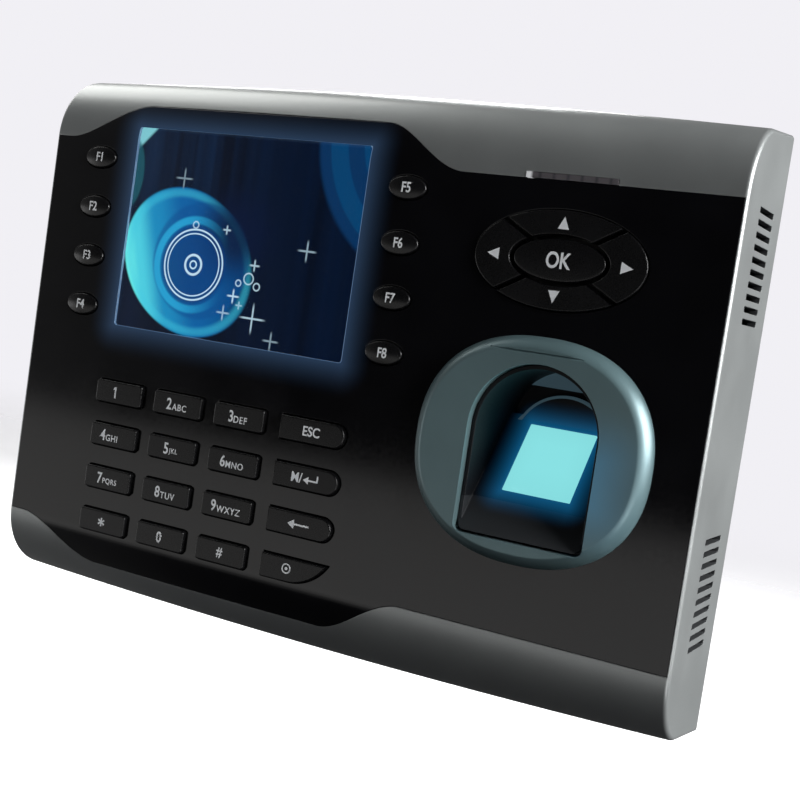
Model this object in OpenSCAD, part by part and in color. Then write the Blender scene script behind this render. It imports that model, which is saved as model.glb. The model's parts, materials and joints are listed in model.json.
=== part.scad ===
// Fingerprint scanner terminal on its wall plate.
// +Z is up, the front faces -Y and +X is on the right when facing the terminal.
// The origin is the centre of the wall plate's screw pattern, on the wall.
// Inside the modules y is the depth behind the front plane, and place() shifts that to
// the wall.

/* [Case] */
// Width of the case
case_w = 189.5; // [180:0.5:200]
// Height of the flat part of the front
flat_h = 103.2; // [100:0.2:106]
// Depth of the rounded top and bottom shoulders
shoulder_d = 16.6; // [15.6:0.2:18]
// Height of the rounded shoulders
shoulder_h = 19.1; // [17.6:0.1:20]
// Slope of the top and bottom faces towards the back, in degrees
flank_slope = 7; // [4:0.5:9]
// Depth of the case from the front plane to the back rim
case_d = 34; // [34:0.5:40]
// Thickness of the side, top and bottom walls
wall = 2.2; // [1.8:0.1:2.6]
// Thickness of the housing's wall behind the fascia
front_wall = 2; // [1.6:0.1:2.2]
// Gap between the back rim and the wall
wall_gap = 0.5; // [0.2:0.1:1]

/* [Fascia] */
// Thickness of the fascia
fascia_t = 1.6; // [1.4:0.1:1.6]
// Width of the fascia
fascia_w = 187.8; // [180:0.2:188]
// Half height of the fascia at its ends
wave_low = 51.6; // [50:0.2:52]
// Half height of the fascia at its crest
wave_high = 62; // [60:0.5:63]

/* [Screen] */
// Width of the picture
picture_w = 70.08; // [69.6:0.02:70.6]
// Height of the picture
picture_h = 52.56; // [52.2:0.02:53]
// Distance of the picture's centre from the case's centre, across
screen_x = -31.75; // [-33:0.25:-31]
// Height of the picture's centre above the case's centre
screen_z = 29.5; // [29:0.25:30]

/* [Keys] */
// How far the number keys stand proud of the fascia
key_proud = 1.3; // [0.8:0.1:1.6]
// How far the function keys stand proud
function_proud = 1; // [0.6:0.1:1.4]
// How far the arrow keys stand proud
arrow_proud = 0.6; // [0.4:0.1:1]
// Travel of a key
key_travel = 1; // [0.6:0.1:1]
// Gap around a key
key_gap = 0.3; // [0.3:0.05:0.4]
// Width of a number key
number_w = 15; // [14:0.5:16]
// Height of a number key
number_h = 5.9; // [5:0.1:6.2]
// Spacing of the number keys across
number_pitch_x = 19.2; // [19:0.1:20]
// Spacing of the rows of number keys
number_pitch_z = 11.57; // [11.2:0.01:11.8]
// Width of the four keys on the right of the numbers
side_key_w = 18.4; // [17:0.2:18.6]
// Width of a function key
function_w = 10; // [9:0.2:10.4]
// Height of a function key
function_h = 5.6; // [5:0.2:6]
// Spacing of the function keys
function_pitch = 13.17; // [12.5:0.01:13.5]

/* [Arrow pad] */
// Half width of the oval pad
pad_a = 20.6; // [19:0.2:21]
// Half height of the oval pad
pad_b = 11.25; // [10.5:0.25:11.5]
// Half width of the OK key
ok_a = 11; // [10:0.2:11.5]
// Half height of the OK key
ok_b = 4.8; // [4.4:0.2:5.2]
// Width of the grooves between the keys of the pad
pad_groove = 1; // [0.7:0.1:1.2]

/* [Reader] */
// Radius of the bezel where it sits on the fascia
bezel_r = 28.6; // [28:0.1:29.2]
// How far the bezel stands proud of the fascia
bezel_proud = 3.8; // [3:0.1:4.2]
// Half width of the arched finger opening
arch_r = 15.7; // [15:0.1:16.5]
// Tilt of the sensor from upright, in degrees
ramp_tilt = 39; // [36:1:42]
// Width of the sensor's glass
glass_w = 16.7; // [16:0.1:18]
// Length of the sensor's glass up the ramp
glass_l = 19.6; // [18:0.1:20]

/* [Vents] */
// Number of slots in each group
vent_count = 10; // [6:1:10]
// Spacing of the slots
vent_pitch = 2.73; // [2.6:0.01:2.8]
// Height of a slot
vent_h = 1.3; // [1:0.1:1.5]

/* [Wall plate] */
// Thickness of the plate
plate_t = 1.5; // [1.2:0.1:1.5]
// Spacing of the wall screws across
screw_dx = 100; // [97:1:103]
// Spacing of the wall screws up
screw_dz = 60; // [58:1:63]
// Radius of the wall screws' holes
screw_hole_r = 2.25; // [2.1:0.05:2.4]
// How far the terminal lifts to come off the hooks
lift = 8; // [7:0.5:8]

/* [Hidden] */
$fn = 96;
wall_plane = case_d + wall_gap;
back_d = case_d - 0.6;          // outer face of the rear cover
cover_t = 2.2;                  // thickness of the rear cover
recess_d = case_d - 3.5;        // floor of the recess for the plate
recess_t = 2;                   // thickness of that floor
inner_d = fascia_t + front_wall; // inside of the front wall
half_w = case_w / 2;
shoulder_end = 2;               // degrees between a shoulder's end and the flank's slope
step_d = 12;                    // where the top and bottom walls get thinner
reach = 90;                     // beyond the case on every side
fit = 0.1;                      // gap between fixed parts that touch
eps = 0.05;

// Fascia outline: where the wave rises on the left and falls on the right
rise_x = [-90, -65];
fall_x = [5.5, 28.5];
wave_steps = 14;

// Key layout
number_x = -61.3;               // first column
number_z = -14.7;               // first row
side_key_x = -1.2;
function_dx = 46.5;             // from the screen's centre to a column of function keys
function_z = 46.7;              // first row
pad_x = 55.2;
pad_z = 33.9;
groove_angle = 29.7;            // of the diagonal grooves in the pad
key_corner = 0.8;
flange_grow = 1;                // how far a key's flange reaches past its face
flange_d = inner_d + 0.3;
flange_t = 1;
dome_d = flange_d + flange_t + key_travel + 0.2;
sheet_d = 6.8;                  // front of the membrane's sheet
sheet_t = 1;
board_d = sheet_d + sheet_t;    // front of the keypad board
board_t = 1.6;

// Reader
reader_x = 56.1;
reader_z = -9.4;
spigot_r = 25;
bezel_x = reader_x - 0.8;       // middle of the bezel's rim
rim_w = 3;                      // width of the bezel's rounded rim
arch_x = 56.3;
arch_mid_z = -5.3;              // where the arch's half circle starts
arch_low_z = -30.1;             // lower edge of the opening in the bezel's face
arch_corner = 2;
guide_t = 1;                    // wall of the finger guide
guide_back = 21;                // back wall of the finger guide
guide_front = -1.6;             // front of its side walls, behind the bezel's lip
stop_d = [17.6, 18.8];          // the arched stop
stop_r = 13;
stop_z = -3.6;
hood_d = 19.6;                  // the hood over it
hood_z = 4.8;
ramp_len = 35.5;                // from the bezel's face to the top of the ramp
glass_from = 13.5;              // from the bezel's face to the glass, along the ramp
ear_r = 28.5;                   // circle of the guide's four screws

// Screen
window_w = picture_w + 0.4;
window_h = picture_h + 0.4;
lcd_w = 76.9;
lcd_h = 63.9;
lcd_t = 3.2;
lcd_d = 2.2;
lcd_top = 57.9;
lcd_z = lcd_top - lcd_h / 2;

// Boards and screws
main_d = 14.6;
main_x = [-82, 39];
main_z = [-35.9, 54];
chips = [
    [[-22, -8], [0, 14], 1.6], [[0, 9], [24, 34], 1.2], [[-70, -58], [-6, 4], 1.4],
    [[-72, -62], [-30, -20], 7]
];
capacitor_x = [-66, -56];
screw_r = 0.95;                 // shaft of the small board screws
screw_bore_r = 1;
screw_l = 4;
cover_screw_r = 1.45;
cover_screw_l = 10;
cover_head_r = 2.7;
cover_head_t = 2;
cover_screws = [for (sx = [-1, 1], sz = [-1, 1]) [sx * 86, sz * 57]];
main_screws = [[-77, 48], [34, 48], [-77, -30], [25, -30]];
keypad_screws = [
    [-75, -15], [-75, -50], [17, -15], [17, -50], [-51.7, -20.5], [-32.5, -43.6],
    [-78.25, 27], [14.75, 27], [35, 46], [75.5, 46], [35, 22], [75.5, 22]
];
guide_screws = [for (a = [45:90:315]) [reader_x + ear_r * cos(a), reader_z + ear_r * sin(a)]];

boss_r = 3.5;                   // posts for the rear cover's screws
post_r = 1.8;                   // posts for the small screws
cover_boss_d = 28.5;
cover_head_d = back_d - 2.4;

// Light bar, ribbons and domes
led_x = 55.1;
led_z = 52.4;
led_w = 21.8;
led_h = 1.3;
gasket_d = 1.65;
gasket_t = 0.5;
gasket_w = 2.9;                 // beyond the picture's edge, at the sides and below
gasket_top_w = 1.8;             // and above
gasket_view_x = 1.7;            // clear space beyond the picture's edge
gasket_view_z = 0.6;
frame_t = 1.6;
ribbon_x = [-45, -20];
dome_r = 1.8;
arrow_dx = 15.85;
arrow_dz = 8.03;
guide_flange_d = 4.8;
guide_flange_t = 1.5;
ramp_t = 1.8;
vent_tops = [50.85, -23.15];    // centres of the top slots
vent_d = [12, 26];
cell_pos = [-45, 20];
cell_r = 10;
speaker_z = -34.8;

// Rear bay, connectors and plate
floor_in_d = recess_d - recess_t; // inner face of the recess's floor
ethernet_half_w = 8;
ethernet_h = 12;
usb_half_w = 6.6;
usb_h = 5.8;
power_half_w = 4.5;
power_h = 11;
block_half_w = 15.5;
block_h = 8;
block_pitch = 3.5;
tamper_top_d = 19.7;
plunger_r = 1.6;
hook_d = floor_in_d - 1.5;
hook_t = 1.5;
bay_x = 58;
bay_z = [-62, -38];
bay_d = 18;                     // floor of the bay
bay_t = 2;                      // thickness of the walls round the recesses
plate_x = 58;
plate_z = 38;
plate_d = wall_plane - plate_t;
window_x = 34;
window_z = 26;
hook_x = 42;
hook_z = [16, -14];             // top faces of the hooks' stems
hook_w = 8;
hook_lip = 6;
hook_gap = 0.25;
tab_z = -42;
tab_d = 20;
lock_d = 24;
block_x = -40;
ethernet_x = -15;
usb_x = 15;
power_x = 33;
jack_d = main_d + board_t;      // back face of the main board
mouth_z = bay_z[1] - 2;         // below the mouths of the connectors
tamper_x = 24;
tamper_z = 14;
tamper_travel = 1.5;

function_names = ["f1", "f2", "f3", "f4", "f5", "f6", "f7", "f8"];
number_names = ["1", "2", "3", "4", "5", "6", "7", "8", "9", "star", "0", "hash"];
arrow_names = ["up", "left", "down", "right"];
side_names = ["esc", "menu_enter", "back", "power"];

// ---------- helpers ----------

// Shifts a module from depth behind the front plane to the row's frame.
module place() {
    translate([0, -wall_plane, 0]) children();
}

// A drawing in X and Z, carried from depth d0 to depth d1.
module through(d0, d1) {
    translate([0, d1, 0]) rotate([90, 0, 0]) linear_extrude(d1 - d0) children();
}

// A drawing in depth and Z, carried across from x0 to x1.
module across(x0, x1) {
    translate([x0, 0, 0]) rotate([90, 0, 90]) linear_extrude(x1 - x0) children();
}

module block(x, d, z) {
    translate([x[0], d[0], z[0]]) cube([x[1] - x[0], d[1] - d[0], z[1] - z[0]]);
}

// A round bar along the depth at [x, z].
module bar(p, r, d0, d1) {
    translate([p[0], d1, p[1]]) rotate([90, 0, 0]) cylinder(r = r, h = d1 - d0);
}

// ---------- outlines ----------

module rounded(w, h, r) {
    square([w - 2 * r, h], center = true);
    square([w, h - 2 * r], center = true);
    for (sx = [-1, 1], sy = [-1, 1]) translate([sx * (w / 2 - r), sy * (h / 2 - r)]) circle(r = r);
}

module oval(a, b) {
    scale([1, b / a]) circle(r = a);
}

// Side view of the case, drawn in by inset: flat front, round shoulders, sloping flanks.
module side_profile(inset, depth) {
    a = shoulder_d - inset;
    b = shoulder_h - inset;
    z0 = flat_h / 2;
    turn = atan(a / b * tan(flank_slope)) + shoulder_end;
    tip = [shoulder_d - a * sin(turn), z0 + b * cos(turn)];
    corner_z = tip[1] - (tip[0] - inset) * tan(flank_slope);
    end_z = tip[1] + (depth - tip[0]) * tan(flank_slope);
    difference() {
        polygon([
            [inset, -corner_z], [inset, corner_z], [depth, end_z], [depth, -end_z]
        ]);
        for (s = [-1, 1]) difference() {
            polygon([[inset, s * z0], [inset, s * corner_z], [tip[0], s * tip[1]]]);
            translate([shoulder_d, s * z0]) scale([1, b / a]) circle(r = a);
        }
    }
}

// One edge of the fascia's wave: a soft step from z0 to z1 between two x values.
function soft_step(x, z0, z1) = [
    for (i = [0:wave_steps])
        let (t = i / wave_steps)
        [x[0] + (x[1] - x[0]) * t, z0 + (z1 - z0) * t * t * (3 - 2 * t)]
];

function reversed(list) = [for (i = [len(list) - 1:-1:0]) list[i]];

module fascia_outline(grow) {
    w = fascia_w / 2 + grow;
    low = wave_low + grow;
    high = wave_high + grow;
    top = concat(soft_step(rise_x, low, high), soft_step(fall_x, high, low));
    polygon(concat(
        [[-w, -low], [-w, low]], top, [[w, low], [w, -low]],
        [for (p = reversed(top)) [p[0], -p[1]]]
    ));
}

module number_outline(grow) {
    rounded(number_w + 2 * grow, number_h + 2 * grow, key_corner + max(grow, 0));
}

// Square left end, round right end.
module side_outline(grow) {
    h = number_h + 2 * grow;
    w = side_key_w + 2 * grow;
    translate([-h / 4, 0]) square([w - h / 2, h], center = true);
    translate([w / 2 - h / 2, 0]) circle(r = h / 2);
}

// Straight top, and a bottom edge that curves up to a tip on the right.
module power_outline(grow) {
    straight = 7.7;
    reach = side_key_w - straight;
    r = (reach * reach + number_h * number_h) / (2 * number_h);
    bend_x = straight - side_key_w / 2;
    low = -number_h / 2 - grow;
    intersection() {
        square([side_key_w + 2 * grow, number_h + 2 * grow], center = true);
        union() {
            translate([-side_key_w / 2 - grow, low]) square([straight + grow, number_h + 2 * grow]);
            translate([bend_x, low + r + grow]) circle(r = r + grow);
        }
    }
}

module function_outline(grow) {
    oval(function_w / 2 + grow, function_h / 2 + grow);
}

module ok_outline(grow) {
    oval(ok_a + grow, ok_b + grow);
}

module pad_outline(grow) {
    oval(pad_a + grow, pad_b + grow);
}

// One of the four arrow keys: 0 is up, 1 left, 2 down, 3 right.
module arrow_outline(i, grow) {
    reach = 60;
    half = i % 2 == 0 ? 90 - groove_angle : groove_angle;
    side = pad_groove / 2;
    difference() {
        intersection() {
            pad_outline(grow);
            rotate(90 + 90 * i) polygon([
                [side / sin(half), 0],
                [side / sin(half) + reach * cos(half), reach * sin(half)],
                [side / sin(half) + reach * cos(half), -reach * sin(half)]
            ]);
        }
        ok_outline(pad_groove);
    }
}

module arch_outline(grow) {
    r = arch_r + grow;
    low = arch_low_z - grow;
    translate([arch_x, arch_mid_z]) circle(r = r);
    translate([arch_x - r, low + arch_corner]) square([2 * r, arch_mid_z - low - arch_corner]);
    translate([arch_x - r + arch_corner, low]) square([2 * (r - arch_corner), arch_corner * 2]);
    for (s = [-1, 1]) {
        translate([arch_x + s * (r - arch_corner), low + arch_corner]) circle(r = arch_corner);
    }
}

// ---------- key positions ----------

function function_pos(i) = [
    screen_x + (i < 4 ? -1 : 1) * function_dx,
    function_z - function_pitch * (i % 4)
];
function number_pos(i) = [number_x + number_pitch_x * (i % 3), number_z - number_pitch_z * floor(i / 3)];
function side_pos(i) = [side_key_x, number_z - number_pitch_z * i];
module at(p) {
    translate([p[0], p[1]]) children();
}

// Openings for every key in the fascia and in the wall behind it.
module key_openings() {
    for (i = [0:7]) at(function_pos(i)) function_outline(key_gap);
    for (i = [0:11]) at(number_pos(i)) number_outline(key_gap);
    for (i = [0:2]) at(side_pos(i)) side_outline(key_gap);
    at(side_pos(3)) power_outline(key_gap);
    at([pad_x, pad_z]) pad_outline(key_gap);
}

// ---------- keys ----------

module function_key(i) {
    color("black") place() {
        through(-function_proud, flange_d) at(function_pos(i)) function_outline(0);
        through(flange_d, flange_d + flange_t) at(function_pos(i)) function_outline(flange_grow);
    }
}

module number_key(i) {
    color("black") place() {
        through(-key_proud, flange_d) at(number_pos(i)) number_outline(0);
        through(flange_d, flange_d + flange_t) at(number_pos(i)) number_outline(flange_grow);
    }
}

module side_key(i) {
    color("black") place() {
        through(-key_proud, flange_d) at(side_pos(i)) side_outline(0);
        through(flange_d, flange_d + flange_t) at(side_pos(i)) side_outline(flange_grow);
    }
}

module power_key() {
    color("black") place() {
        through(-key_proud, flange_d) at(side_pos(3)) power_outline(0);
        through(flange_d, flange_d + flange_t) at(side_pos(3)) power_outline(flange_grow);
    }
}

module arrow_key(i) {
    color("black") place() {
        through(-arrow_proud, flange_d) at([pad_x, pad_z]) arrow_outline(i, 0);
        through(flange_d, flange_d + flange_t) at([pad_x, pad_z]) arrow_outline(i, flange_grow);
    }
}

module key_ok() {
    color("black") place() through(-arrow_proud, flange_d + flange_t) at([pad_x, pad_z]) ok_outline(0);
}

// ---------- case ----------

// The space inside the case: thick behind the fascia, then out to the side walls.
module case_inside() {
    x = half_w - wall;
    across(-x, x) side_profile(inner_d, case_d + 1);
    intersection() {
        across(-x, x) side_profile(wall, case_d + 1);
        block([-x, x], [step_d, case_d + 1], [-reach, reach]);
    }
}

module led_outline(grow) {
    translate([led_x, led_z]) square([led_w + 2 * grow, led_h + 2 * grow], center = true);
}

module window_outline(grow) {
    translate([screen_x, screen_z]) rounded(window_w + 2 * grow, window_h + 2 * grow, 0.8);
}

module lcd_outline(grow) {
    translate([screen_x, lcd_z]) square([lcd_w + 2 * grow, lcd_h + 2 * grow], center = true);
}

module front_housing() {
    color("slategray") place() difference() {
        union() {
            difference() {
                across(-half_w, half_w) side_profile(0, case_d);
                case_inside();
                difference() {
                    through(-1, shoulder_d) fascia_outline(fit);
                    across(-half_w - 1, half_w + 1) side_profile(fascia_t + eps, case_d);
                }
            }
            for (p = cover_screws) bar(p, boss_r, inner_d + 1, cover_boss_d - fit);
            for (p = keypad_screws) bar(p, post_r, inner_d - eps, board_d);
            for (p = guide_screws) bar(p, post_r, inner_d - eps, guide_flange_d);
        }
        for (p = cover_screws) bar(p, cover_screw_r + eps, cover_boss_d - cover_screw_l - 2.5, case_d);
        for (p = keypad_screws) bar(p, screw_bore_r, board_d - 3.2, case_d);
        for (p = guide_screws) bar(p, screw_bore_r, guide_flange_d - 2.6, case_d);
        through(-1, inner_d + 2) key_openings();
        through(-1, 9) lcd_outline(0.3);
        bar([reader_x, reader_z], spigot_r + 0.3, -1, inner_d + 1);
        through(-1, inner_d + 1) led_outline(0.15);
        for (top = vent_tops, i = [0:vent_count - 1]) {
            z = top - i * vent_pitch;
            block([half_w - wall - 1, half_w + 1], vent_d, [z - vent_h / 2, z + vent_h / 2]);
        }
    }
}

module front_fascia() {
    color("black") place() difference() {
        intersection() {
            through(-1, 12) fascia_outline(0);
            difference() {
                across(-half_w, half_w) side_profile(0, case_d);
                across(-half_w - 1, half_w + 1) side_profile(fascia_t, case_d + 1);
            }
        }
        through(-1, 9) key_openings();
        through(-1, 9) window_outline(fit);
        through(gasket_d - eps, 9) gasket_outline(fit);
        through(lcd_d - fit, 9) lcd_outline(fit);
        bar([reader_x, reader_z], spigot_r + 0.3, -1, 9);
    }
}

// ---------- screen ----------

module screen_window() {
    color("midnightblue", 0.6) place() intersection() {
        through(-1, fascia_t) window_outline(0);
        across(-half_w, half_w) side_profile(0, case_d);
    }
}

module gasket_outline(grow) {
    low = screen_z - picture_h / 2 - gasket_w;
    high = screen_z + picture_h / 2 + gasket_top_w;
    w = picture_w + 2 * gasket_w + 2 * grow;
    translate([screen_x - w / 2, low - grow]) square([w, high - low + 2 * grow]);
}

module screen_gasket() {
    color("dimgray") place() through(gasket_d, gasket_d + gasket_t) difference() {
        gasket_outline(0);
        translate([screen_x, screen_z]) {
            square([picture_w + 2 * gasket_view_x, picture_h + 2 * gasket_view_z], center = true);
        }
    }
}

module lcd_panel() {
    color("steelblue") place() through(lcd_d, lcd_d + lcd_t) lcd_outline(0);
}

module lcd_frame() {
    rim = 1.4;
    base_d = lcd_d + lcd_t + eps;
    color("lightgray") place() difference() {
        intersection() {
            through(inner_d + 0.3, base_d + frame_t) lcd_outline(rim);
            across(-half_w, half_w) side_profile(inner_d + 0.3, case_d);
        }
        through(0, base_d) lcd_outline(fit);
        translate([screen_x, 0, lcd_z]) block([-24, 24], [base_d - 1, 9], [-20, 20]);
        block([ribbon_x[0] - 1, ribbon_x[1] + 1], [0, 9], [lcd_z - lcd_h / 2 - 3, lcd_z - lcd_h / 2 + 0.2]);
    }
}

module led_light_pipe() {
    color("lightcyan") place() through(-0.15, sheet_d - 0.2) led_outline(0);
}

// ---------- membrane and keypad board ----------

module rect(x, z) {
    translate([x[0], z[0]]) square([x[1] - x[0], z[1] - z[0]]);
}

// The board wraps round the screen and reaches up to the arrow keys and the light pipe.
module board_outline() {
    rect([-80, 23], [-55.5, -9]);
    rect([-88, -72.2], [-9.5, 51.5]);
    rect([8.6, 24], [-9.5, 51.5]);
    rect([8.6, 80], [18.3, 50.2]);
}

module key_centres() {
    for (i = [0:7]) at(function_pos(i)) children();
    for (i = [0:11]) at(number_pos(i)) children();
    for (i = [0:3]) at(side_pos(i)) children();
    for (a = [0:90:270]) at([pad_x + arrow_dx * cos(a), pad_z + arrow_dz * sin(a)]) children();
    at([pad_x, pad_z]) children();
}

module keypad_membrane() {
    color("gainsboro") place() {
        difference() {
            through(sheet_d, board_d) board_outline();
            for (p = keypad_screws) bar(p, post_r + 0.2, sheet_d - 1, board_d + 1);
        }
        through(dome_d, sheet_d) key_centres() circle(r = dome_r);
    }
}

module keypad_board() {
    color("darkgreen") place() difference() {
        union() {
            through(board_d, board_d + board_t) {
                board_outline();
                rect([42, 68], [49, 55]);
            }
            for (i = [0:3]) {
                x = led_x + (i - 1.5) * led_w / 4;
                block([x - 1.5, x + 1.5], [board_d - 0.7, board_d + eps], [led_z - 1, led_z + 1]);
            }
        }
        for (p = keypad_screws) bar(p, screw_bore_r, board_d - 1, board_d + board_t + 1);
    }
}

// A flat ribbon bent square, as its steps [depth range, height range].
module ribbon(x, steps) {
    for (s = steps) block(x, s[0], s[1]);
}

module lcd_ribbon() {
    low = lcd_z - lcd_h / 2;
    color("peru") place() ribbon(ribbon_x, [
        [[4.6, 4.9], [low - 2.4, low]],
        [[4.6, 8.6], [low - 2.4, low - 2.1]],
        [[8.3, 8.6], [low - 2.4, low + 8]],
        [[8.3, main_d], [low + 7.7, low + 8]]
    ]);
}

module keypad_ribbon() {
    color("peru") place() ribbon([-25, -5], [
        [[board_d + board_t, 12], [-30, -29.7]],
        [[11.7, 12], [-30, -22]],
        [[11.7, main_d], [-22.3, -22]]
    ]);
}

// ---------- reader ----------

// A point in the side view: so far up the ramp from the bezel's face, and so deep under it.
function ramp_point(along, under) = [
    -bezel_proud + along * sin(ramp_tilt) + under * cos(ramp_tilt),
    arch_low_z + along * cos(ramp_tilt) - under * sin(ramp_tilt)
];

module ramp_bar(half_width, along, under) {
    across(arch_x - half_width, arch_x + half_width) polygon([
        ramp_point(along[0], under[0]), ramp_point(along[1], under[0]),
        ramp_point(along[1], under[1]), ramp_point(along[0], under[1])
    ]);
}

module reader_bezel() {
    front = -2 * bezel_proud;
    // sloping cut across the top, and a steeper one across the foot
    cuts = [
        [[front, 17.8], [0, 26.4], [0, 40], [front, 40]],
        [[front, -23.6], [0, -26], [0, -40], [front, -40]]
    ];
    color("silver") place() difference() {
        union() {
            translate([bezel_x, 0, reader_z]) rotate([90, 0, 0]) rotate_extrude() polygon([
                [0, 0], [bezel_r, 0], [bezel_r, 0.6], [bezel_r - 0.5, 1.7], [bezel_r - 1.5, 2.9],
                [bezel_r - rim_w, bezel_proud], [0, bezel_proud]
            ]);
            bar([reader_x, reader_z], spigot_r, -eps, guide_flange_d - fit);
        }
        through(-9, 9) arch_outline(0);
        translate([0, 0, reader_z]) across(0, 100) for (c = cuts) polygon(c);
    }
}

module finger_guide() {
    front = -bezel_proud + 0.4;
    inside = -fit - guide_t;
    flange_end = guide_flange_d + guide_flange_t;
    color("dimgray") place() {
        difference() {
            union() {
                through(guide_front, guide_back + 1.5) arch_outline(-fit);
                through(guide_flange_d, flange_end) {
                    at([reader_x, reader_z]) circle(r = spigot_r + 1.5);
                    for (p = guide_screws) at(p) circle(r = 3.2);
                }
            }
            through(-9, guide_back) arch_outline(inside);
            for (p = guide_screws) bar(p, screw_bore_r, 0, 9);
            intersection() {
                ramp_bar(40, [-20, 70], [ramp_t + 0.4, 60]);
                block([0, 100], [flange_end, 40], [-60, 40]);
            }
        }
        intersection() {
            through(front, guide_back + 0.5) arch_outline(inside + guide_t / 2);
            union() {
                difference() {
                    ramp_bar(30, [-2, ramp_len], [0, ramp_t]);
                    ramp_bar(glass_w / 2 + fit, [glass_from - fit, glass_from + glass_l + fit], [-1, 9]);
                }
                // low arched stop for the fingertip, and the hood over it
                intersection() {
                    through(stop_d[0], stop_d[1]) at([arch_x, reader_z]) circle(r = stop_r);
                    block([0, 100], [0, 40], [stop_z, 20]);
                }
                block([0, 100], [hood_d, guide_back + 0.5], [hood_z, 20]);
            }
        }
    }
}

module sensor_window() {
    color("cyan") place() {
        ramp_bar(glass_w / 2, [glass_from, glass_from + glass_l], [0, ramp_t]);
    }
}

module sensor_body() {
    color("darkslategray") place() ramp_bar(11, [14, ramp_len], [ramp_t + fit, 9.5]);
}

module sensor_cable() {
    p = ramp_point(25, 6);
    color("firebrick") place() {
        translate([main_x[1] - 2, jack_d + 1.4, p[1]]) rotate([0, 90, 0]) cylinder(r = 0.9, h = 8.2);
        block([main_x[1] - 8, main_x[1] - 2], [jack_d, jack_d + 3], [p[1] - 3, p[1] + 3]);
    }
}

// ---------- main board and what is on it ----------

module main_board() {
    color("green") place() difference() {
        union() {
            block(main_x, [main_d, jack_d], main_z);
            // processor, memory, network chip and coil, each [across, height, thickness]
            for (c = chips) block(c[0], [jack_d - eps, jack_d + c[2]], c[1]);
            for (x = capacitor_x) bar([x, 38], 3, jack_d - eps, jack_d + 8);
        }
        for (p = main_screws) bar(p, screw_bore_r, main_d - 1, jack_d + 1);
    }
}

// The four connectors stand on the board's lower edge, with their mouths down into the bay.
module jack_body(x, half_width, high, long) {
    block([x - half_width, x + half_width], [jack_d, jack_d + high], [bay_z[1], bay_z[1] + long]);
}

module ethernet_jack() {
    color("silver") place() difference() {
        jack_body(ethernet_x, ethernet_half_w, ethernet_h, 21);
        block([ethernet_x - 5.9, ethernet_x + 5.9], [jack_d + 2.5, jack_d + 10.5], [mouth_z, -25]);
        block([ethernet_x - 2, ethernet_x + 2], [jack_d + 1, jack_d + 3], [mouth_z, -29]);
    }
}

module usb_socket() {
    color("silver") place() {
        difference() {
            jack_body(usb_x, usb_half_w, usb_h, 14);
            block([usb_x - 6.1, usb_x + 6.1], [jack_d + 0.5, jack_d + 5.1], [mouth_z, -27]);
        }
        block([usb_x - 5.5, usb_x + 5.5], [jack_d + 2.6, jack_d + 4.4], [-37, -26]);
    }
}

module power_jack() {
    color("black") place() {
        difference() {
            jack_body(power_x, power_half_w, power_h, 14);
            translate([power_x, jack_d + power_h / 2, mouth_z]) cylinder(r = 3.1, h = 11);
        }
        translate([power_x, jack_d + power_h / 2, -37]) cylinder(r = 1, h = 10);
    }
}

module terminal_block() {
    color("limegreen") place() difference() {
        jack_body(block_x, block_half_w, block_h, 10);
        for (i = [0:7]) {
            x = block_x + (i - 3.5) * block_pitch;
            block([x - 1.3, x + 1.3], [jack_d + 1.5, jack_d + 4.5], [mouth_z, -31]);
        }
    }
}

module coin_cell() {
    color("silver") place() bar(cell_pos, cell_r, jack_d + 0.8, jack_d + 4);
}

// A ring round the cell with a notch at its top.
module battery_holder() {
    floor_d = jack_d + 0.7;
    notch = 4;
    color("black") place() difference() {
        bar(cell_pos, cell_r + 1.5, jack_d, jack_d + 4.6);
        bar(cell_pos, cell_r + fit, floor_d, jack_d + 6);
        block([cell_pos[0] - notch, cell_pos[0] + notch], [floor_d, 40], [cell_pos[1], 60]);
    }
}

module speaker() {
    d = (vent_d[0] + vent_d[1]) / 2;
    color("dimgray") place() difference() {
        union() {
            block([86, half_w - wall - 0.3], [d - 7, d + 7], [speaker_z - 12, speaker_z + 12]);
            translate([82, d, speaker_z]) rotate([0, 90, 0]) cylinder(r = 5, h = 5);
        }
        translate([87.5, d, speaker_z]) rotate([0, 90, 0]) cylinder(r1 = 2, r2 = 6, h = 6);
    }
}

module tamper_switch() {
    color("gray") place() {
        block([tamper_x - 3, tamper_x + 3], [jack_d, tamper_top_d], [tamper_z - 3, tamper_z + 3]);
    }
}

module tamper_plunger() {
    color("white") place() {
        bar([tamper_x, tamper_z], plunger_r, tamper_top_d + tamper_travel + 0.2, wall_plane - 0.2);
        bar([tamper_x, tamper_z], 3, floor_in_d - 1.3, floor_in_d - 0.3);
    }
}

// ---------- rear cover ----------

// The outside of a recess in the cover, from depth d to the back.
module tray(x, d, z) {
    block([-x - bay_t, x + bay_t], [d, back_d], [z[0] - bay_t, z[1] + bay_t]);
}

// The slot that a hook goes through, with room for the terminal to lift.
module hook_slot(x, z) {
    w = hook_w / 2 + 0.6;
    block([x - w, x + w], [floor_in_d - 1, recess_d + 1], [z - hook_t - lift - 0.5, z + hook_gap]);
}

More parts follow.
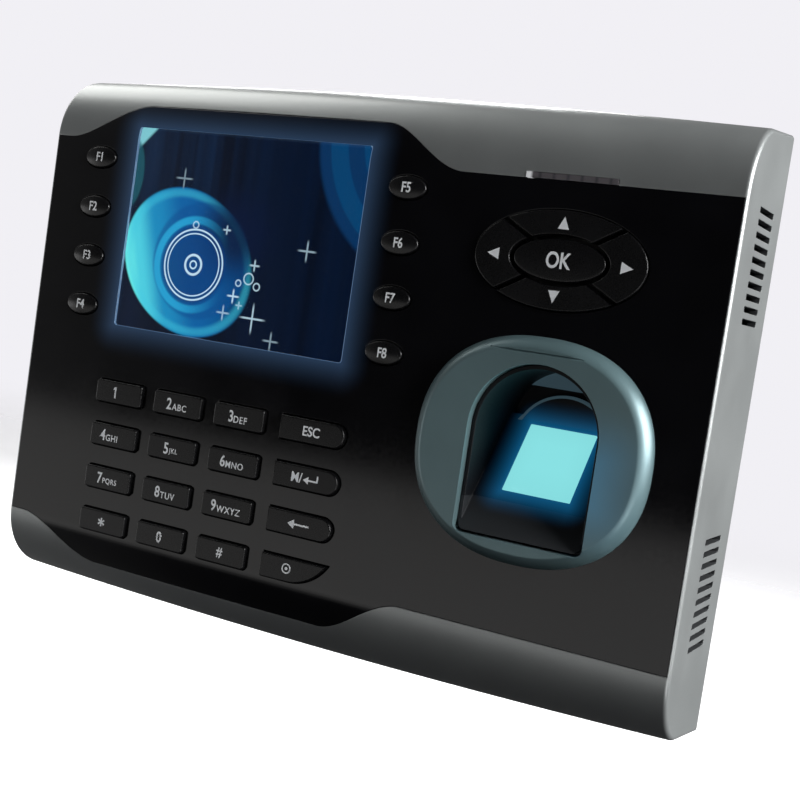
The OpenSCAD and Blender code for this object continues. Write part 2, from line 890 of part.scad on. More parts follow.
module rear_cover() {
    x = half_w - wall - fit;
    pocket_x = plate_x + 2;
    pocket_z = [-plate_z - lift - 1.5, plate_z + 2];
    color("darkslategray") place() difference() {
        union() {
            intersection() {
                across(-x, x) side_profile(wall + fit, case_d + 1);
                union() {
                    block([-x, x], [back_d - cover_t, back_d], [-reach, reach]);
                    tray(pocket_x, floor_in_d, pocket_z);
                    tray(bay_x, bay_d - bay_t, bay_z);
                }
            }
            for (p = main_screws) bar(p, post_r + 1, jack_d, back_d - cover_t + eps);
            for (p = cover_screws) bar(p, boss_r + 1, cover_boss_d, back_d);
            translate([0, lock_d, bay_z[1] + 1]) cylinder(r = boss_r, h = 6);
        }
        block([-pocket_x, pocket_x], [recess_d, case_d + 1], pocket_z);
        block([-bay_x, bay_x], [bay_d, case_d + 1], bay_z);
        for (sx = [-1, 1], h = hook_z) hook_slot(sx * hook_x, h);
        for (p = main_screws) bar(p, screw_bore_r, jack_d - 1, jack_d + 4);
        for (p = cover_screws) {
            bar(p, cover_screw_r + 0.25, cover_boss_d - 1, case_d);
            bar(p, 3, cover_head_d, case_d);
        }
        bar([tamper_x, tamper_z], plunger_r + 0.06, floor_in_d - 1, recess_d + 1);
        translate([0, lock_d, bay_z[1] - 1]) cylinder(r = cover_screw_r + 0.3, h = 9);
        connector_hole(block_x, block_half_w, block_h);
        connector_hole(ethernet_x, ethernet_half_w, ethernet_h);
        connector_hole(usb_x, usb_half_w, usb_h);
        connector_hole(power_x, power_half_w, power_h);
    }
}

module connector_hole(x, half_width, high) {
    w = half_width + fit;
    block([x - w, x + w], [jack_d - fit, jack_d + high + fit], [bay_z[1] - 1, bay_z[1] + 3]);
}

// ---------- fasteners ----------

// A pan-headed screw whose head sits at depth d; dir is 1 where the shaft runs to the back.
module screw(p, d, dir, r, long, head_r, head_t) {
    bar(p, r, dir > 0 ? d : d - long, dir > 0 ? d + long : d);
    bar(p, head_r, dir > 0 ? d - head_t : d, dir > 0 ? d : d + head_t);
}

module small_screw(p, d, dir) {
    screw(p, d, dir, screw_r, screw_l, 1.8, 1.2);
}

module rear_cover_screws() {
    color("gray") place() for (p = cover_screws) {
        screw(p, cover_head_d, -1, cover_screw_r, cover_screw_l, cover_head_r, cover_head_t);
    }
}

module board_screws() {
    color("gray") place() {
        for (p = keypad_screws) small_screw(p, board_d + board_t, -1);
        for (p = guide_screws) small_screw(p, guide_flange_d + guide_flange_t, -1);
        for (p = main_screws) small_screw(p, main_d, 1);
    }
}

// ---------- wall plate ----------

module wall_plate() {
    color("lightgray") place() difference() {
        union() {
            through(plate_d, wall_plane) difference() {
                rounded(2 * plate_x, 2 * plate_z, 4);
                rounded(2 * window_x, 2 * window_z, 3);
                for (sx = [-1, 1], h = hook_z) {
                    translate([sx * hook_x - hook_w / 2, h]) square([hook_w, hook_lip + 3]);
                }
            }
            for (sx = [-1, 1], h = hook_z) translate([sx * hook_x, 0, h]) {
                block([-hook_w / 2, hook_w / 2], [hook_d, plate_d + eps], [-hook_t, 0]);
                block([-hook_w / 2, hook_w / 2], [hook_d, hook_d + 1.2], [-hook_t, hook_lip]);
            }
            block([-5.5, 5.5], [plate_d, wall_plane], [tab_z, -plate_z + eps]);
            block([-5.5, 5.5], [tab_d, plate_d + eps], [tab_z, tab_z + hook_t]);
        }
        for (sx = [-1, 1], sz = [-1, 1]) {
            bar([sx * screw_dx / 2, sz * screw_dz / 2], screw_hole_r, plate_d - 1, wall_plane + 1);
        }
        translate([0, lock_d, tab_z - 1]) cylinder(r = cover_screw_r + 0.15, h = 4);
    }
}

module lock_screw() {
    color("gray") place() translate([0, lock_d, tab_z]) {
        cylinder(r = cover_screw_r, h = 9);
        translate([0, 0, -cover_head_t]) cylinder(r = cover_head_r, h = cover_head_t);
    }
}

// ---------- output ----------

front_housing();
front_fascia();
screen_window();
screen_gasket();
lcd_panel();
lcd_frame();
led_light_pipe();
reader_bezel();
finger_guide();
sensor_window();
sensor_body();
keypad_membrane();
keypad_board();
main_board();
ethernet_jack();
usb_socket();
power_jack();
terminal_block();
speaker();
coin_cell();
battery_holder();
rear_cover();
rear_cover_screws();
board_screws();
wall_plate();
lock_screw();
tamper_switch();
tamper_plunger();
lcd_ribbon();
keypad_ribbon();
sensor_cable();
for (i = [0:7]) function_key(i);
for (i = [0:11]) number_key(i);
for (i = [0:2]) side_key(i);
for (i = [0:3]) arrow_key(i);
power_key();  // key_power
key_ok();
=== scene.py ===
"""The looks of the fingerprint scanner terminal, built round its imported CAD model.

Every length is in metres, in the CAD model's frame: the front faces -Y, +Z is up and the wall
is at y = 0. Places come from the boxes of the CAD nodes where a box says them.
"""
import json
import math
from contextlib import contextmanager

import bmesh
import bpy
from mathutils import Matrix, Vector


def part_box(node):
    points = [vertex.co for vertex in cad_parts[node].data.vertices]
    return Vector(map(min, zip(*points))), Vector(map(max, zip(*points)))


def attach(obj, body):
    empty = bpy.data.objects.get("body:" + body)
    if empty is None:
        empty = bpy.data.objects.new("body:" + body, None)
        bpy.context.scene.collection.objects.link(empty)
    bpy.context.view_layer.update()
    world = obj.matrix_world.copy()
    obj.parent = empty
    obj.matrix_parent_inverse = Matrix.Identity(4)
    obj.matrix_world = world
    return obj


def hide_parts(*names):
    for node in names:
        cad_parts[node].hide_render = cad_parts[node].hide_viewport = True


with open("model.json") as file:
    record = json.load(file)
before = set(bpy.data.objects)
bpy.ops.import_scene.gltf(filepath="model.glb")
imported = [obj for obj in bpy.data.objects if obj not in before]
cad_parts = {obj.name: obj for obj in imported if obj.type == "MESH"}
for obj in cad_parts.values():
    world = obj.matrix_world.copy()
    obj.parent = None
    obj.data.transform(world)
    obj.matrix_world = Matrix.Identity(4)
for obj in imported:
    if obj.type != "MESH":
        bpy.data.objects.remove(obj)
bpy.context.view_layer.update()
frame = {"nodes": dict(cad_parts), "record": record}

MM = 0.001

# ---------- sizes, from the CAD boxes where a box says them ----------

case_lo, case_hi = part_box("front_housing")
FRONT = case_lo.y  # front plane of the case
HALF_W = case_hi.x
CASE_D = case_hi.y - case_lo.y
FLAT_Z = 51.6 * MM  # half height of the flat part of the front
SHOULDER_D, SHOULDER_H = 16.6 * MM, 19.1 * MM
SHOULDER_END = math.radians(2)  # corner between a shoulder and the slope behind it
SLOPE = math.radians(7)  # of the top and bottom faces towards the back
WALL = 2.2 * MM
FASCIA_T = 1.6 * MM
INNER_D = 3.6 * MM  # inside of the wall behind the fascia
END_ROUND = 1.1 * MM  # rounding of the two ends
CROWN = 2.0 * MM  # how far the top and bottom faces fall towards the ends
REACH = case_hi.z - FLAT_Z
WAVE_LOW, WAVE_HIGH = 51.6 * MM, 62 * MM
WAVE_RISE = (-90 * MM, -65 * MM)
WAVE_FALL = (5.5 * MM, 28.5 * MM)
KEY_GAP = 0.3 * MM
WELD = 0.01 * MM  # points this near to each other are one

# ---------- meshes ----------


def link(name, mesh):
    obj = bpy.data.objects.new(name, mesh)
    bpy.context.scene.collection.objects.link(obj)
    return obj


@contextmanager
def editing(mesh, write=True):
    """A mesh to edit, which is written back unless it was only to be read."""
    bm = bmesh.new()
    bm.from_mesh(mesh)
    yield bm
    if write:
        bm.to_mesh(mesh)
    bm.free()


def mesh_object(name, points, faces):
    mesh = bpy.data.meshes.new(name)
    mesh.from_pydata([tuple(p) for p in points], [], faces)
    with editing(mesh) as bm:
        bmesh.ops.recalc_face_normals(bm, faces=bm.faces)
    return link(name, mesh)


def stack(name, loops, closed=False):
    """A solid through loops of equal length, capped unless the loops close on themselves."""
    count = len(loops[0])
    points = [p for loop in loops for p in loop]
    faces = []
    for i in range(len(loops) if closed else len(loops) - 1):
        here, there = i * count, (i + 1) % len(loops) * count
        for j in range(count):
            k = (j + 1) % count
            faces.append((here + j, here + k, there + k, there + j))
    if not closed:
        faces.append(tuple(range(count)))
        faces.append(tuple(len(points) - count + j for j in range(count)))
    return mesh_object(name, points, faces)


def prism(name, outline, d0, d1):
    """A drawing in X and Z, carried from depth d0 to depth d1 behind the front plane."""
    return stack(name, [[(x, FRONT + d, z) for x, z in outline] for d in (d0, d1)])


def across(name, drawing, x0, x1, between=()):
    """A drawing in depth and Z, carried across from x0 to x1, with rings of points between."""
    return stack(name, [[(x, FRONT + d, z) for d, z in drawing] for x in (x0, *between, x1)])


def bake(obj):
    """Applies an object's modifiers."""
    bpy.context.view_layer.update()
    shaped = obj.evaluated_get(bpy.context.evaluated_depsgraph_get())
    mesh = bpy.data.meshes.new_from_object(shaped)
    obj.modifiers.clear()
    obj.data = mesh
    return obj


def join(name, objects):
    """One object with the meshes of several, which go."""
    bm = bmesh.new()
    for obj in objects:
        bm.from_mesh(obj.data)
        bpy.data.objects.remove(obj)
    mesh = bpy.data.meshes.new(name)
    bm.to_mesh(mesh)
    bm.free()
    return link(name, mesh)


def combine(obj, operation, *others):
    """DIFFERENCE, UNION or INTERSECT of obj with others, which go."""
    for other in others:
        modifier = obj.modifiers.new("combine", "BOOLEAN")
        modifier.operation = operation
        modifier.solver = "EXACT"
        modifier.object = other
        bake(obj)
        bpy.data.objects.remove(other)
    return obj


def clean(obj, flat):
    """Welds points that touch and joins faces that turn by less than an angle, in degrees."""
    with editing(obj.data) as bm:
        bmesh.ops.remove_doubles(bm, verts=bm.verts, dist=WELD)
        bmesh.ops.dissolve_degenerate(bm, edges=bm.edges, dist=WELD / 2)
        bmesh.ops.dissolve_limit(bm, angle_limit=math.radians(flat), verts=bm.verts, edges=bm.edges)
    return obj


def soften(obj, width, segments=2, angle=40):
    """Rounds every edge sharper than the angle, and shades the rest smooth."""
    modifier = obj.modifiers.new("round", "BEVEL")
    modifier.limit_method = "ANGLE"
    modifier.angle_limit = math.radians(angle)
    modifier.width = width
    modifier.segments = segments
    modifier.use_clamp_overlap = False
    modifier.loop_slide = False
    bake(obj)
    return shade(obj)


def shade(obj, angle=40):
    """Smooth shading, with edges sharper than the angle kept sharp."""
    obj.data.shade_smooth()
    obj.data.set_sharp_from_angle(angle=math.radians(angle))
    modifier = obj.modifiers.new("normals", "WEIGHTED_NORMAL")
    modifier.keep_sharp = True
    return bake(obj)


def bend(v, share=1.0):
    """Lets a point above or below the flat front fall towards the middle, most at the two ends."""
    out = (abs(v.co.z) - FLAT_Z) / REACH
    if out > 0:
        v.co.z -= math.copysign(CROWN * (v.co.x / HALF_W) ** 2 * out * share, v.co.z)


def cad_copy(name, node):
    """A free copy of a CAD node's mesh, with its points welded and its flat faces joined."""
    obj = link(name, frame["nodes"][node].data.copy())
    obj.data.materials.clear()
    return clean(obj, 0.5)


def finish_piece(obj, body, slot, node=None, look=None):
    """Gives a piece its look, which is its slot's unless one is given, and its body, and hides its CAD node.
    """
    obj.data.materials.clear()
    obj.data.materials.append(MATERIALS[look or slot])
    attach(obj, body)
    if node:
        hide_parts(node)


# ---------- camera ----------

# The camera's place, and the directions forward and to the right of its picture
CAMERA_PLACE = Vector((0.16145, -0.3135, 0.0175))
CAMERA_FORWARD = Vector((-0.449, 0.891, -0.066))
CAMERA_RIGHT = Vector((0.879, 0.453, 0.146))
CAMERA_LENS = 59.5


def make_camera():
    data = bpy.data.cameras.new("camera")
    data.lens = CAMERA_LENS
    data.sensor_width = 36
    data.clip_start = 0.01
    data.clip_end = 50
    camera = link("camera", data)
    back = -CAMERA_FORWARD.normalized()
    right = (CAMERA_RIGHT - CAMERA_RIGHT.dot(back) * back).normalized()
    up = back.cross(right)
    turn = Matrix((right, up, back)).transposed()
    camera.matrix_world = Matrix.Translation(CAMERA_PLACE) @ turn.to_4x4()
    bpy.context.scene.camera = camera


make_camera()

# ---------- outlines in X and Z ----------


def middle_of(values):
    return (min(values) + max(values)) / 2


def arc(cx, cz, a, b, start, end, steps):
    """Points on an ellipse from one angle to another, in degrees."""
    turns = [math.radians(start + (end - start) * i / steps) for i in range(steps + 1)]
    return [(cx + a * math.cos(t), cz + b * math.sin(t)) for t in turns]


def ellipse(cx, cz, a, b, steps=96):
    return arc(cx, cz, a, b, 0, 360, steps)[:-1]


def rounded(cx, cz, w, h, r, steps=8):
    points = []
    for i, (sx, sz) in enumerate([(1, 1), (-1, 1), (-1, -1), (1, -1)]):
        points += arc(cx + sx * (w / 2 - r), cz + sz * (h / 2 - r), r, r, 90 * i, 90 * i + 90, steps)
    return points


def box_outline(node, grow, r, steps=8, cx=None):
    """The front view of a CAD node's box, made larger by grow, with corners of radius r."""
    lo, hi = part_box(node)
    cx = (lo.x + hi.x) / 2 if cx is None else cx
    return rounded(cx, (lo.z + hi.z) / 2, hi.x - lo.x + grow, hi.z - lo.z + grow, r, steps)


def side_key(cx, cz, w, h):
    """Square left end, round right end."""
    r = h / 2
    left = cx - w / 2
    return [(left, cz + r), (left, cz - r)] + arc(cx + w / 2 - r, cz, r, r, -90, 90, 24)


def power_key(cx, cz, w, h):
    """Straight top, and a bottom edge that curves up to a tip on the right."""
    straight = 7.7 * MM
    reach = w - straight
    r = (reach * reach + h * h) / (2 * h)
    bend = cx - w / 2 + straight
    sweep = math.degrees(math.asin(reach / r))
    points = [(cx - w / 2, cz + h / 2), (cx - w / 2, cz - h / 2)]
    return points + arc(bend, cz - h / 2 + r, r, r, -90, -90 + sweep, 20)


def soft_step(x, z0, z1, steps=56):
    points = []
    for i in range(steps + 1):
        t = i / steps
        points.append((x[0] + (x[1] - x[0]) * t, z0 + (z1 - z0) * t * t * (3 - 2 * t)))
    return points


def wave(grow):
    """The fascia's outline, with a soft wave along its top and bottom."""
    half = HALF_W - 0.85 * MM + grow
    low, high = WAVE_LOW + grow, WAVE_HIGH + grow
    top = [(-half, low)] + soft_step(WAVE_RISE, low, high) + soft_step(WAVE_FALL, high, low)
    top.append((half, low))
    return top + [(x, -z) for x, z in reversed(top)]


SHARPEST = 0.35  # least cosine of half a corner's turn, so that no tip runs far out


def grown(outline, amount):
    """An outline drawn outwards by an amount, or inwards by a negative one."""
    area = sum(x0 * z1 - x1 * z0 for (x0, z0), (x1, z1) in zip([outline[-1], *outline], outline))
    sign = 1 if area > 0 else -1
    moved = []
    for i, (x, z) in enumerate(outline):
        before, after = Vector(outline[i - 1]), Vector(outline[(i + 1) % len(outline)])
        into = (Vector((x, z)) - before).normalized()
        out_of = (after - Vector((x, z))).normalized()
        n0, n1 = (Vector((along.y, -along.x)) * sign for along in (into, out_of))
        middle = (n0 + n1).normalized()
        reach = amount / max(middle.dot(n0), SHARPEST)
        moved.append((x + middle.x * reach, z + middle.y * reach))
    return moved


def shoulder_end(a, b):
    """Angle at which a shoulder's ellipse meets the slope behind it."""
    return math.atan(a / b * math.tan(SLOPE)) + SHOULDER_END


def case_profile(inset, depth=CASE_D):
    """Side view of the case as (depth, z), drawn in by inset: flat front, shoulders, sloping flanks."""
    a, b = SHOULDER_D - inset, SHOULDER_H - inset
    end = shoulder_end(a, b)
    steps = 36
    half = []
    for i in range(steps + 1):
        t = end + (math.pi / 2 - end) * i / steps
        half.append((SHOULDER_D - a * math.sin(t), FLAT_Z + b * math.cos(t)))
    tip = half[0]
    half.insert(0, (depth, tip[1] + (depth - tip[0]) * math.tan(SLOPE)))
    return half + [(d, -z) for d, z in reversed(half)]


def skin(x, d, z):
    """How far a point is from the case's outer skin, and the skin's normal there."""
    side = math.copysign(1, z)
    bend = CROWN / REACH * (x / HALF_W) ** 2
    up = (abs(z) - FLAT_Z) / (1 - bend)
    if up <= 0:
        return abs(d), Vector((0, -1, 0))
    end = shoulder_end(SHOULDER_D, SHOULDER_H)
    tip = (SHOULDER_D * (1 - math.sin(end)), SHOULDER_H * math.cos(end))
    if d < tip[0]:
        py, pz = (d - SHOULDER_D) / SHOULDER_D, up / SHOULDER_H
        off = abs(math.hypot(py, pz) - 1) * SHOULDER_D
        normal = Vector((0, py / SHOULDER_D, pz / SHOULDER_H)).normalized()
    else:
        off = abs(up - tip[1] - (d - tip[0]) * math.tan(SLOPE)) * math.cos(SLOPE)
        normal = Vector((0, -math.sin(SLOPE), math.cos(SLOPE)))
    normal.x = 2 * CROWN / REACH * up * x / HALF_W ** 2 * normal.z
    normal.z *= side
    return off, normal.normalized()


def smooth_skin(obj, inside=None):
    """Shades the faces on the case's outer skin as the smooth surface that they are cut from.

    Faces further than 0.3 mm inside the skin get the second material, where one is given.
    """
    mesh = obj.data
    if inside:
        mesh.materials.append(inside)
    normals = [n.vector.copy() for n in mesh.corner_normals]
    limit = HALF_W - END_ROUND + 0.01 * MM
    for face in mesh.polygons:
        places = [mesh.vertices[i].co for i in face.vertices]
        found = [skin(v.x, v.y - FRONT, v.z) for v in places]
        on_skin = all(off < 0.02 * MM for off, _ in found) and all(abs(v.x) < limit for v in places)
        if on_skin and face.normal.dot(found[0][1]) > 0.9:
            for corner, (_, normal) in zip(face.loop_indices, found):
                normals[corner] = normal
        elif inside and not on_skin:
            middle = face.center
            off, _ = skin(middle.x, middle.y - FRONT, middle.z)
            if off > 0.3 * MM and abs(middle.x) < HALF_W - 0.3 * MM:
                face.material_index = 1
    mesh.normals_split_custom_set(normals)


def node_outline(node):
    """The outline of a CAD node's front face, in order, as (x, z)."""
    mesh = frame["nodes"][node].data
    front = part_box(node)[0].y
    same = 0.001 * MM
    with editing(mesh, write=False) as bm:
        bmesh.ops.remove_doubles(bm, verts=bm.verts, dist=same)
        at_front = {f for f in bm.faces if all(abs(v.co.y - front) < same for v in f.verts)}
        rim = [e for e in bm.edges if len(at_front.intersection(e.link_faces)) == 1]
        links = {}
        for e in rim:
            for v, w in (e.verts, reversed(e.verts)):
                links.setdefault(v, []).append(w)
        start = rim[0].verts[0]
        loop, previous = [start], None
        while True:
            step = [w for w in links[loop[-1]] if w is not previous][0]
            if step is start:
                break
            previous = loop[-1]
            loop.append(step)
        return [(v.co.x, v.co.z) for v in loop]


# ---------- materials ----------


class Nodes:
    """The node tree of a material or of the world, with short ways to add a node and to do sums."""

    def __init__(self, owner, shader="Principled BSDF"):
        owner.use_nodes = True
        self.owner = owner
        self.tree = owner.node_tree
        self.shader = self.tree.nodes[shader]
        self.coordinates = self.add("ShaderNodeTexCoord").outputs
        self.place = self.coordinates["Object"]

    def add(self, kind, **settings):
        node = self.tree.nodes.new(kind)
        for key, value in settings.items():
            setattr(node, key, value)
        return node

    def put(self, value, socket):
        """Sets a socket to a value or links it to another socket."""
        if isinstance(value, bpy.types.NodeSocket):
            self.tree.links.new(value, socket)
        else:
            socket.default_value = value

    def sum(self, operation, *values):
        node = self.add("ShaderNodeMath", operation=operation)
        for i, value in enumerate(values):
            self.put(value, node.inputs[i])
        return node.outputs[0]

    def times(self, a, b):
        return self.sum("MULTIPLY", a, b)

    def minus(self, a, b):
        return self.sum("SUBTRACT", a, b)

    def larger(self, a, b):
        return self.sum("MAXIMUM", a, b)

    def off(self, value, middle):
        """How far a value is from a middle, without its sign."""
        return self.sum("ABSOLUTE", self.minus(value, middle))

    def share(self, value, start, size):
        """A value as a share of a size, counted from start."""
        return self.sum("DIVIDE", self.minus(value, start), size)

    def length(self, *values):
        """The square root of the sum of the values' squares."""
        total = 0
        for value in values:
            total = self.sum("MULTIPLY_ADD", value, value, total)
        return self.sum("SQRT", total)

    def step(self, value, gone, full, top=1.0):
        """0 at gone and top at full, with a soft step between."""
        return self.spread(value, gone, full, 0, top, "SMOOTHSTEP")

    def below(self, value, edge, blur):
        """1 where the value is under the edge, with a soft step."""
        return self.step(value, edge + blur, edge - blur)

    def parts(self, vector):
        node = self.add("ShaderNodeSeparateXYZ")
        self.put(vector, node.inputs[0])
        return node.outputs

    def noise(self, scale, detail=3.0, stretch=None):
        """Noise with features of about 1 / scale, in metres."""
        source = self.place
        if stretch:
            mapping = self.add("ShaderNodeMapping")
            mapping.inputs["Scale"].default_value = stretch
            self.put(source, mapping.inputs["Vector"])
            source = mapping.outputs[0]
        node = self.add("ShaderNodeTexNoise")
        self.put(source, node.inputs["Vector"])
        node.inputs["Scale"].default_value = scale
        node.inputs["Detail"].default_value = detail
        return node.outputs["Fac"]

    def ramp(self, value, stops, smooth=False):
        node = self.add("ShaderNodeValToRGB")
        if smooth:
            node.color_ramp.interpolation = "EASE"
        elements = node.color_ramp.elements
        while len(elements) < len(stops):
            elements.new(0.5)
        for element, (position, colour) in zip(elements, stops):
            element.position = position
            element.color = (*colour, 1)
        self.put(value, node.inputs[0])
        return node.outputs[0]

    def spread(self, value, start, end, low, high, kind="LINEAR"):
        """Carries start to end over to low to high."""
        node = self.add("ShaderNodeMapRange", interpolation_type=kind)
        self.put(value, node.inputs["Value"])
        for name, number in (("From Min", start), ("From Max", end), ("To Min", low), ("To Max", high)):
            node.inputs[name].default_value = number
        return node.outputs[0]

    def rescale(self, value, low, high):
        """Spreads noise, which keeps near 0.5, over low to high."""
        return self.spread(value, 0.3, 0.7, low, high)

    def bump(self, height, distance):
        node = self.add("ShaderNodeBump")
        node.inputs["Strength"].default_value = 1
        node.inputs["Distance"].default_value = distance
        self.put(height, node.inputs["Height"])
        return node.outputs[0]

    def mix(self, factor, a, b, blend="MIX"):
        node = self.add("ShaderNodeMix", data_type="RGBA", blend_type=blend)
        self.put(factor, node.inputs["Factor"])
        for value, place in ((a, 6), (b, 7)):  # places of the colour sockets
            self.put((*value, 1) if isinstance(value, tuple) else value, node.inputs[place])
        return node.outputs[2]

    def set(self, **values):
        """Sets the shader's own sockets. Emission has a strength of 1 unless another is given."""
        if "Emission_Color" in values:
            values.setdefault("Emission_Strength", 1.0)
        for key, value in values.items():
            if isinstance(value, tuple) and len(value) == 3:
                value = (*value, 1)
            self.put(value, self.shader.inputs[key.replace("_", " ")])
        return self


def tone(colour, factor):
    return tuple(min(c * factor, 1) for c in colour)


def surface(name, colour, roughness, metallic=0.0, grain=2500, depth=0.006, mottle=0.12,
            rough_spread=0.05, blotch=60, **extra):
    """A moulded, painted or metal surface: fine grain in relief, with colour and gloss that vary a little."""
    n = Nodes(bpy.data.materials.new(name))
    broad, fine = n.noise(blotch, 4), n.noise(grain, 2)
    n.set(Base_Color=n.ramp(broad, [(0.3, tone(colour, 1 - mottle)), (0.7, tone(colour, 1 + mottle))]),
          Roughness=n.rescale(n.sum("MULTIPLY_ADD", fine, 0.5, n.times(broad, 0.5)),
                              roughness - rough_spread, roughness + rough_spread),
          Metallic=metallic,
          Normal=n.bump(fine, depth * MM))
    n.set(**extra)
    return n


def halo(n, centre, half, reach, power=2.0):
    """1 on a box and falling to 0 at reach outside it: the mask of the painted glows round the screen and the
    sensor, and of the sensor glass's brighter middle.
    """
    outside = [n.larger(n.minus(n.off(axis, c), h), 0)
               for axis, c, h in zip(n.parts(n.place), centre, half)]
    distance = n.length(*outside)
    near = n.larger(n.minus(1, n.sum("DIVIDE", distance, reach)), 0)
    return n.sum("POWER", near, power)


# Colours, in linear light
SILVER = (0.27, 0.285, 0.285)
BLACK_GLOSS = (0.0035, 0.0035, 0.0045)
KEY_BLACK = (0.004, 0.004, 0.0045)
INK_WHITE = (0.72, 0.74, 0.76)
SENSOR_CYAN = (0.25, 0.75, 0.77)

SCREEN = sum(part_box("screen_window"), Vector()) / 2
PICTURE_W, PICTURE_H = 70.08 * MM, 52.56 * MM
glass_lo, glass_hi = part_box("sensor_window")
SENSOR = (glass_lo + glass_hi) / 2
GLASS = (glass_hi - glass_lo) / 2
bezel_lo, bezel_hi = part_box("reader_bezel")
BEZEL_R = (bezel_hi.x - bezel_lo.x) / 2
BEZEL_X = (bezel_lo.x + bezel_hi.x) / 2
BEZEL_PROUD = FRONT - bezel_lo.y
BEZEL_FOOT = 26 * MM  # half height of the bezel, which is flattened
BEZEL_Z = bezel_lo.z + BEZEL_FOOT
SPIGOT_R = 25 * MM
SPIGOT_X = BEZEL_X + 0.8 * MM
ARCH_R = 15.7 * MM
ARCH_X = SENSOR.x
ARCH_MID_Z = -5.3 * MM
ARCH_LOW_Z = -30.1 * MM
ARCH_CORNER = 2 * MM
HOOD_D, HOOD_Z = 19.3 * MM, 4.7 * MM  # the cup's pale hood is deeper and higher than these
STOP_D = (17.4 * MM, 19 * MM)  # depths that the pale finger stop lies between
STOP_R = (12.3 * MM, 13.3 * MM)  # and its radii
PAINTED_LIGHT_Z = -22 * MM  # below this the cup's ramp is paler: painted light, reflected from the front
LED_CELLS = 13
led_lo, led_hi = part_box("led_light_pipe")


def silver_paint():
    """Metallic paint with a fine fleck."""
    n = surface("silver_paint", SILVER, 0.38, metallic=0.5, grain=3500, depth=0.004, mottle=0.05,
                rough_spread=0.04)
    n.set(Coat_Weight=0.3, Coat_Roughness=0.2)
    return n.owner


def fascia_black():
    """Polished black plastic, with a painted glow round the screen for the light that the screen spreads
    round itself.
    """
    n = surface("fascia_black", BLACK_GLOSS, 0.1, grain=900, depth=0.0008, mottle=0.3,
                rough_spread=0.03, IOR=1.46)
    # painted glow: blue emission on the fascia, strongest next to the screen and fading within 9 mm
    glow = halo(n, SCREEN, (PICTURE_W / 2, 10 * MM, PICTURE_H / 2), 9 * MM, 2.2)
    n.set(Emission_Color=n.mix(glow, (0, 0, 0), (0.02, 0.042, 0.085)))
    return n.owner


def bezel_silver():
    """Satin silver paint, with a painted blue glow where the sensor shines on it."""
    n = surface("bezel_silver", (0.125, 0.2, 0.215), 0.4, metallic=0.35, grain=3500, depth=0.004,
                mottle=0.06, rough_spread=0.04)
    # painted glow: blue emission on the bezel by the arch's right edge, next to the sensor's glass
    place = (ARCH_X + ARCH_R, FRONT - BEZEL_PROUD, SENSOR.z - 1 * MM)
    glow = halo(n, place, (1 * MM, 4 * MM, 5 * MM), 13 * MM, 1.6)
    n.set(Emission_Color=n.mix(glow, (0, 0, 0), (0.004, 0.05, 0.1)),
          Coat_Weight=0.2, Coat_Roughness=0.25)
    return n.owner


def cup_black():
    """Satin dark plastic inside the reader, with a paler hood and stop, painted light on its lower ramp, and
    a painted glow from the sensor's glass round the glass and on the hood and stop.
    """
    n = surface("cup_black", (0.004, 0.0045, 0.006), 0.5, grain=2000, depth=0.008, mottle=0.15,
                Specular_IOR_Level=0.22)
    x, y, z = n.parts(n.place)

    def above(value, edge):
        return n.sum("GREATER_THAN", value, edge)

    def between(value, low, high):
        return n.times(above(value, low), n.sum("LESS_THAN", value, high))

    hood = n.times(above(y, FRONT + HOOD_D), above(z, HOOD_Z))
    far = n.length(n.minus(x, ARCH_X), n.minus(z, BEZEL_Z))
    stop = n.times(between(far, *STOP_R), between(y, FRONT + STOP_D[0], FRONT + STOP_D[1]))
    pale = n.larger(hood, stop)
    # painted light: the ramp low in the cup gets a paler base colour, for light reflected from the front
    foot = n.times(above(PAINTED_LIGHT_Z, z), 0.4)
    colour = n.mix(foot, (0.005, 0.0055, 0.007), (0.05, 0.055, 0.06))
    colour = n.mix(pale, colour, (0.09, 0.115, 0.13))
    # painted glow: blue emission round the sensor's glass, and a paler bluish emission on the hood and stop
    near = halo(n, SENSOR, GLASS, 6.8 * MM, 2.2)
    lit = n.mix(near, (0, 0, 0), (0.004, 0.085, 0.2))
    lit = n.mix(n.times(pale, 0.75), lit, (0.03, 0.055, 0.07))
    n.set(Base_Color=colour, Emission_Color=lit)
    return n.owner


def sensor_glass():
    """The lit glass: nearly even, and a touch brighter in the middle."""
    n = surface("sensor_glass", (0.05, 0.12, 0.13), 0.12, grain=1500, depth=0.001, mottle=0.1)
    middle = halo(n, SENSOR, (GLASS.x / 2, 2 * MM, GLASS.z / 2), 11 * MM, 1.0)
    n.set(Emission_Color=n.mix(middle, tone(SENSOR_CYAN, 0.9), SENSOR_CYAN))
    return n.owner


def window_clear():
    """Clear plastic over the picture."""
    n = Nodes(bpy.data.materials.new("window_clear"))
    n.set(Base_Color=(0.96, 0.98, 1.0), Roughness=n.rescale(n.noise(400), 0.01, 0.03),
          Transmission_Weight=1.0, IOR=1.49, Normal=n.bump(n.noise(150), 0.0004 * MM))
    return n.owner


def light_bar():
    """A smoky lens with faint divisions, lit at its left end."""
    n = surface("light_bar", (0.1, 0.095, 0.1), 0.3, grain=1800, depth=0.003, mottle=0.1)
    x, _, _ = n.parts(n.place)
    along = n.share(x, led_lo.x, led_hi.x - led_lo.x)
    cell = n.sum("PINGPONG", n.times(along, LED_CELLS), 1)
    tint = n.ramp(cell, [(0.05, (0.05, 0.05, 0.055)), (0.35, (0.13, 0.12, 0.13))])
    dot = n.ramp(along, [(0.045, (1, 1, 1)), (0.075, (0, 0, 0))])
    n.set(Base_Color=tint, Emission_Color=n.mix(dot, (0, 0, 0), (0.42, 0.43, 0.44)))
    return n.owner


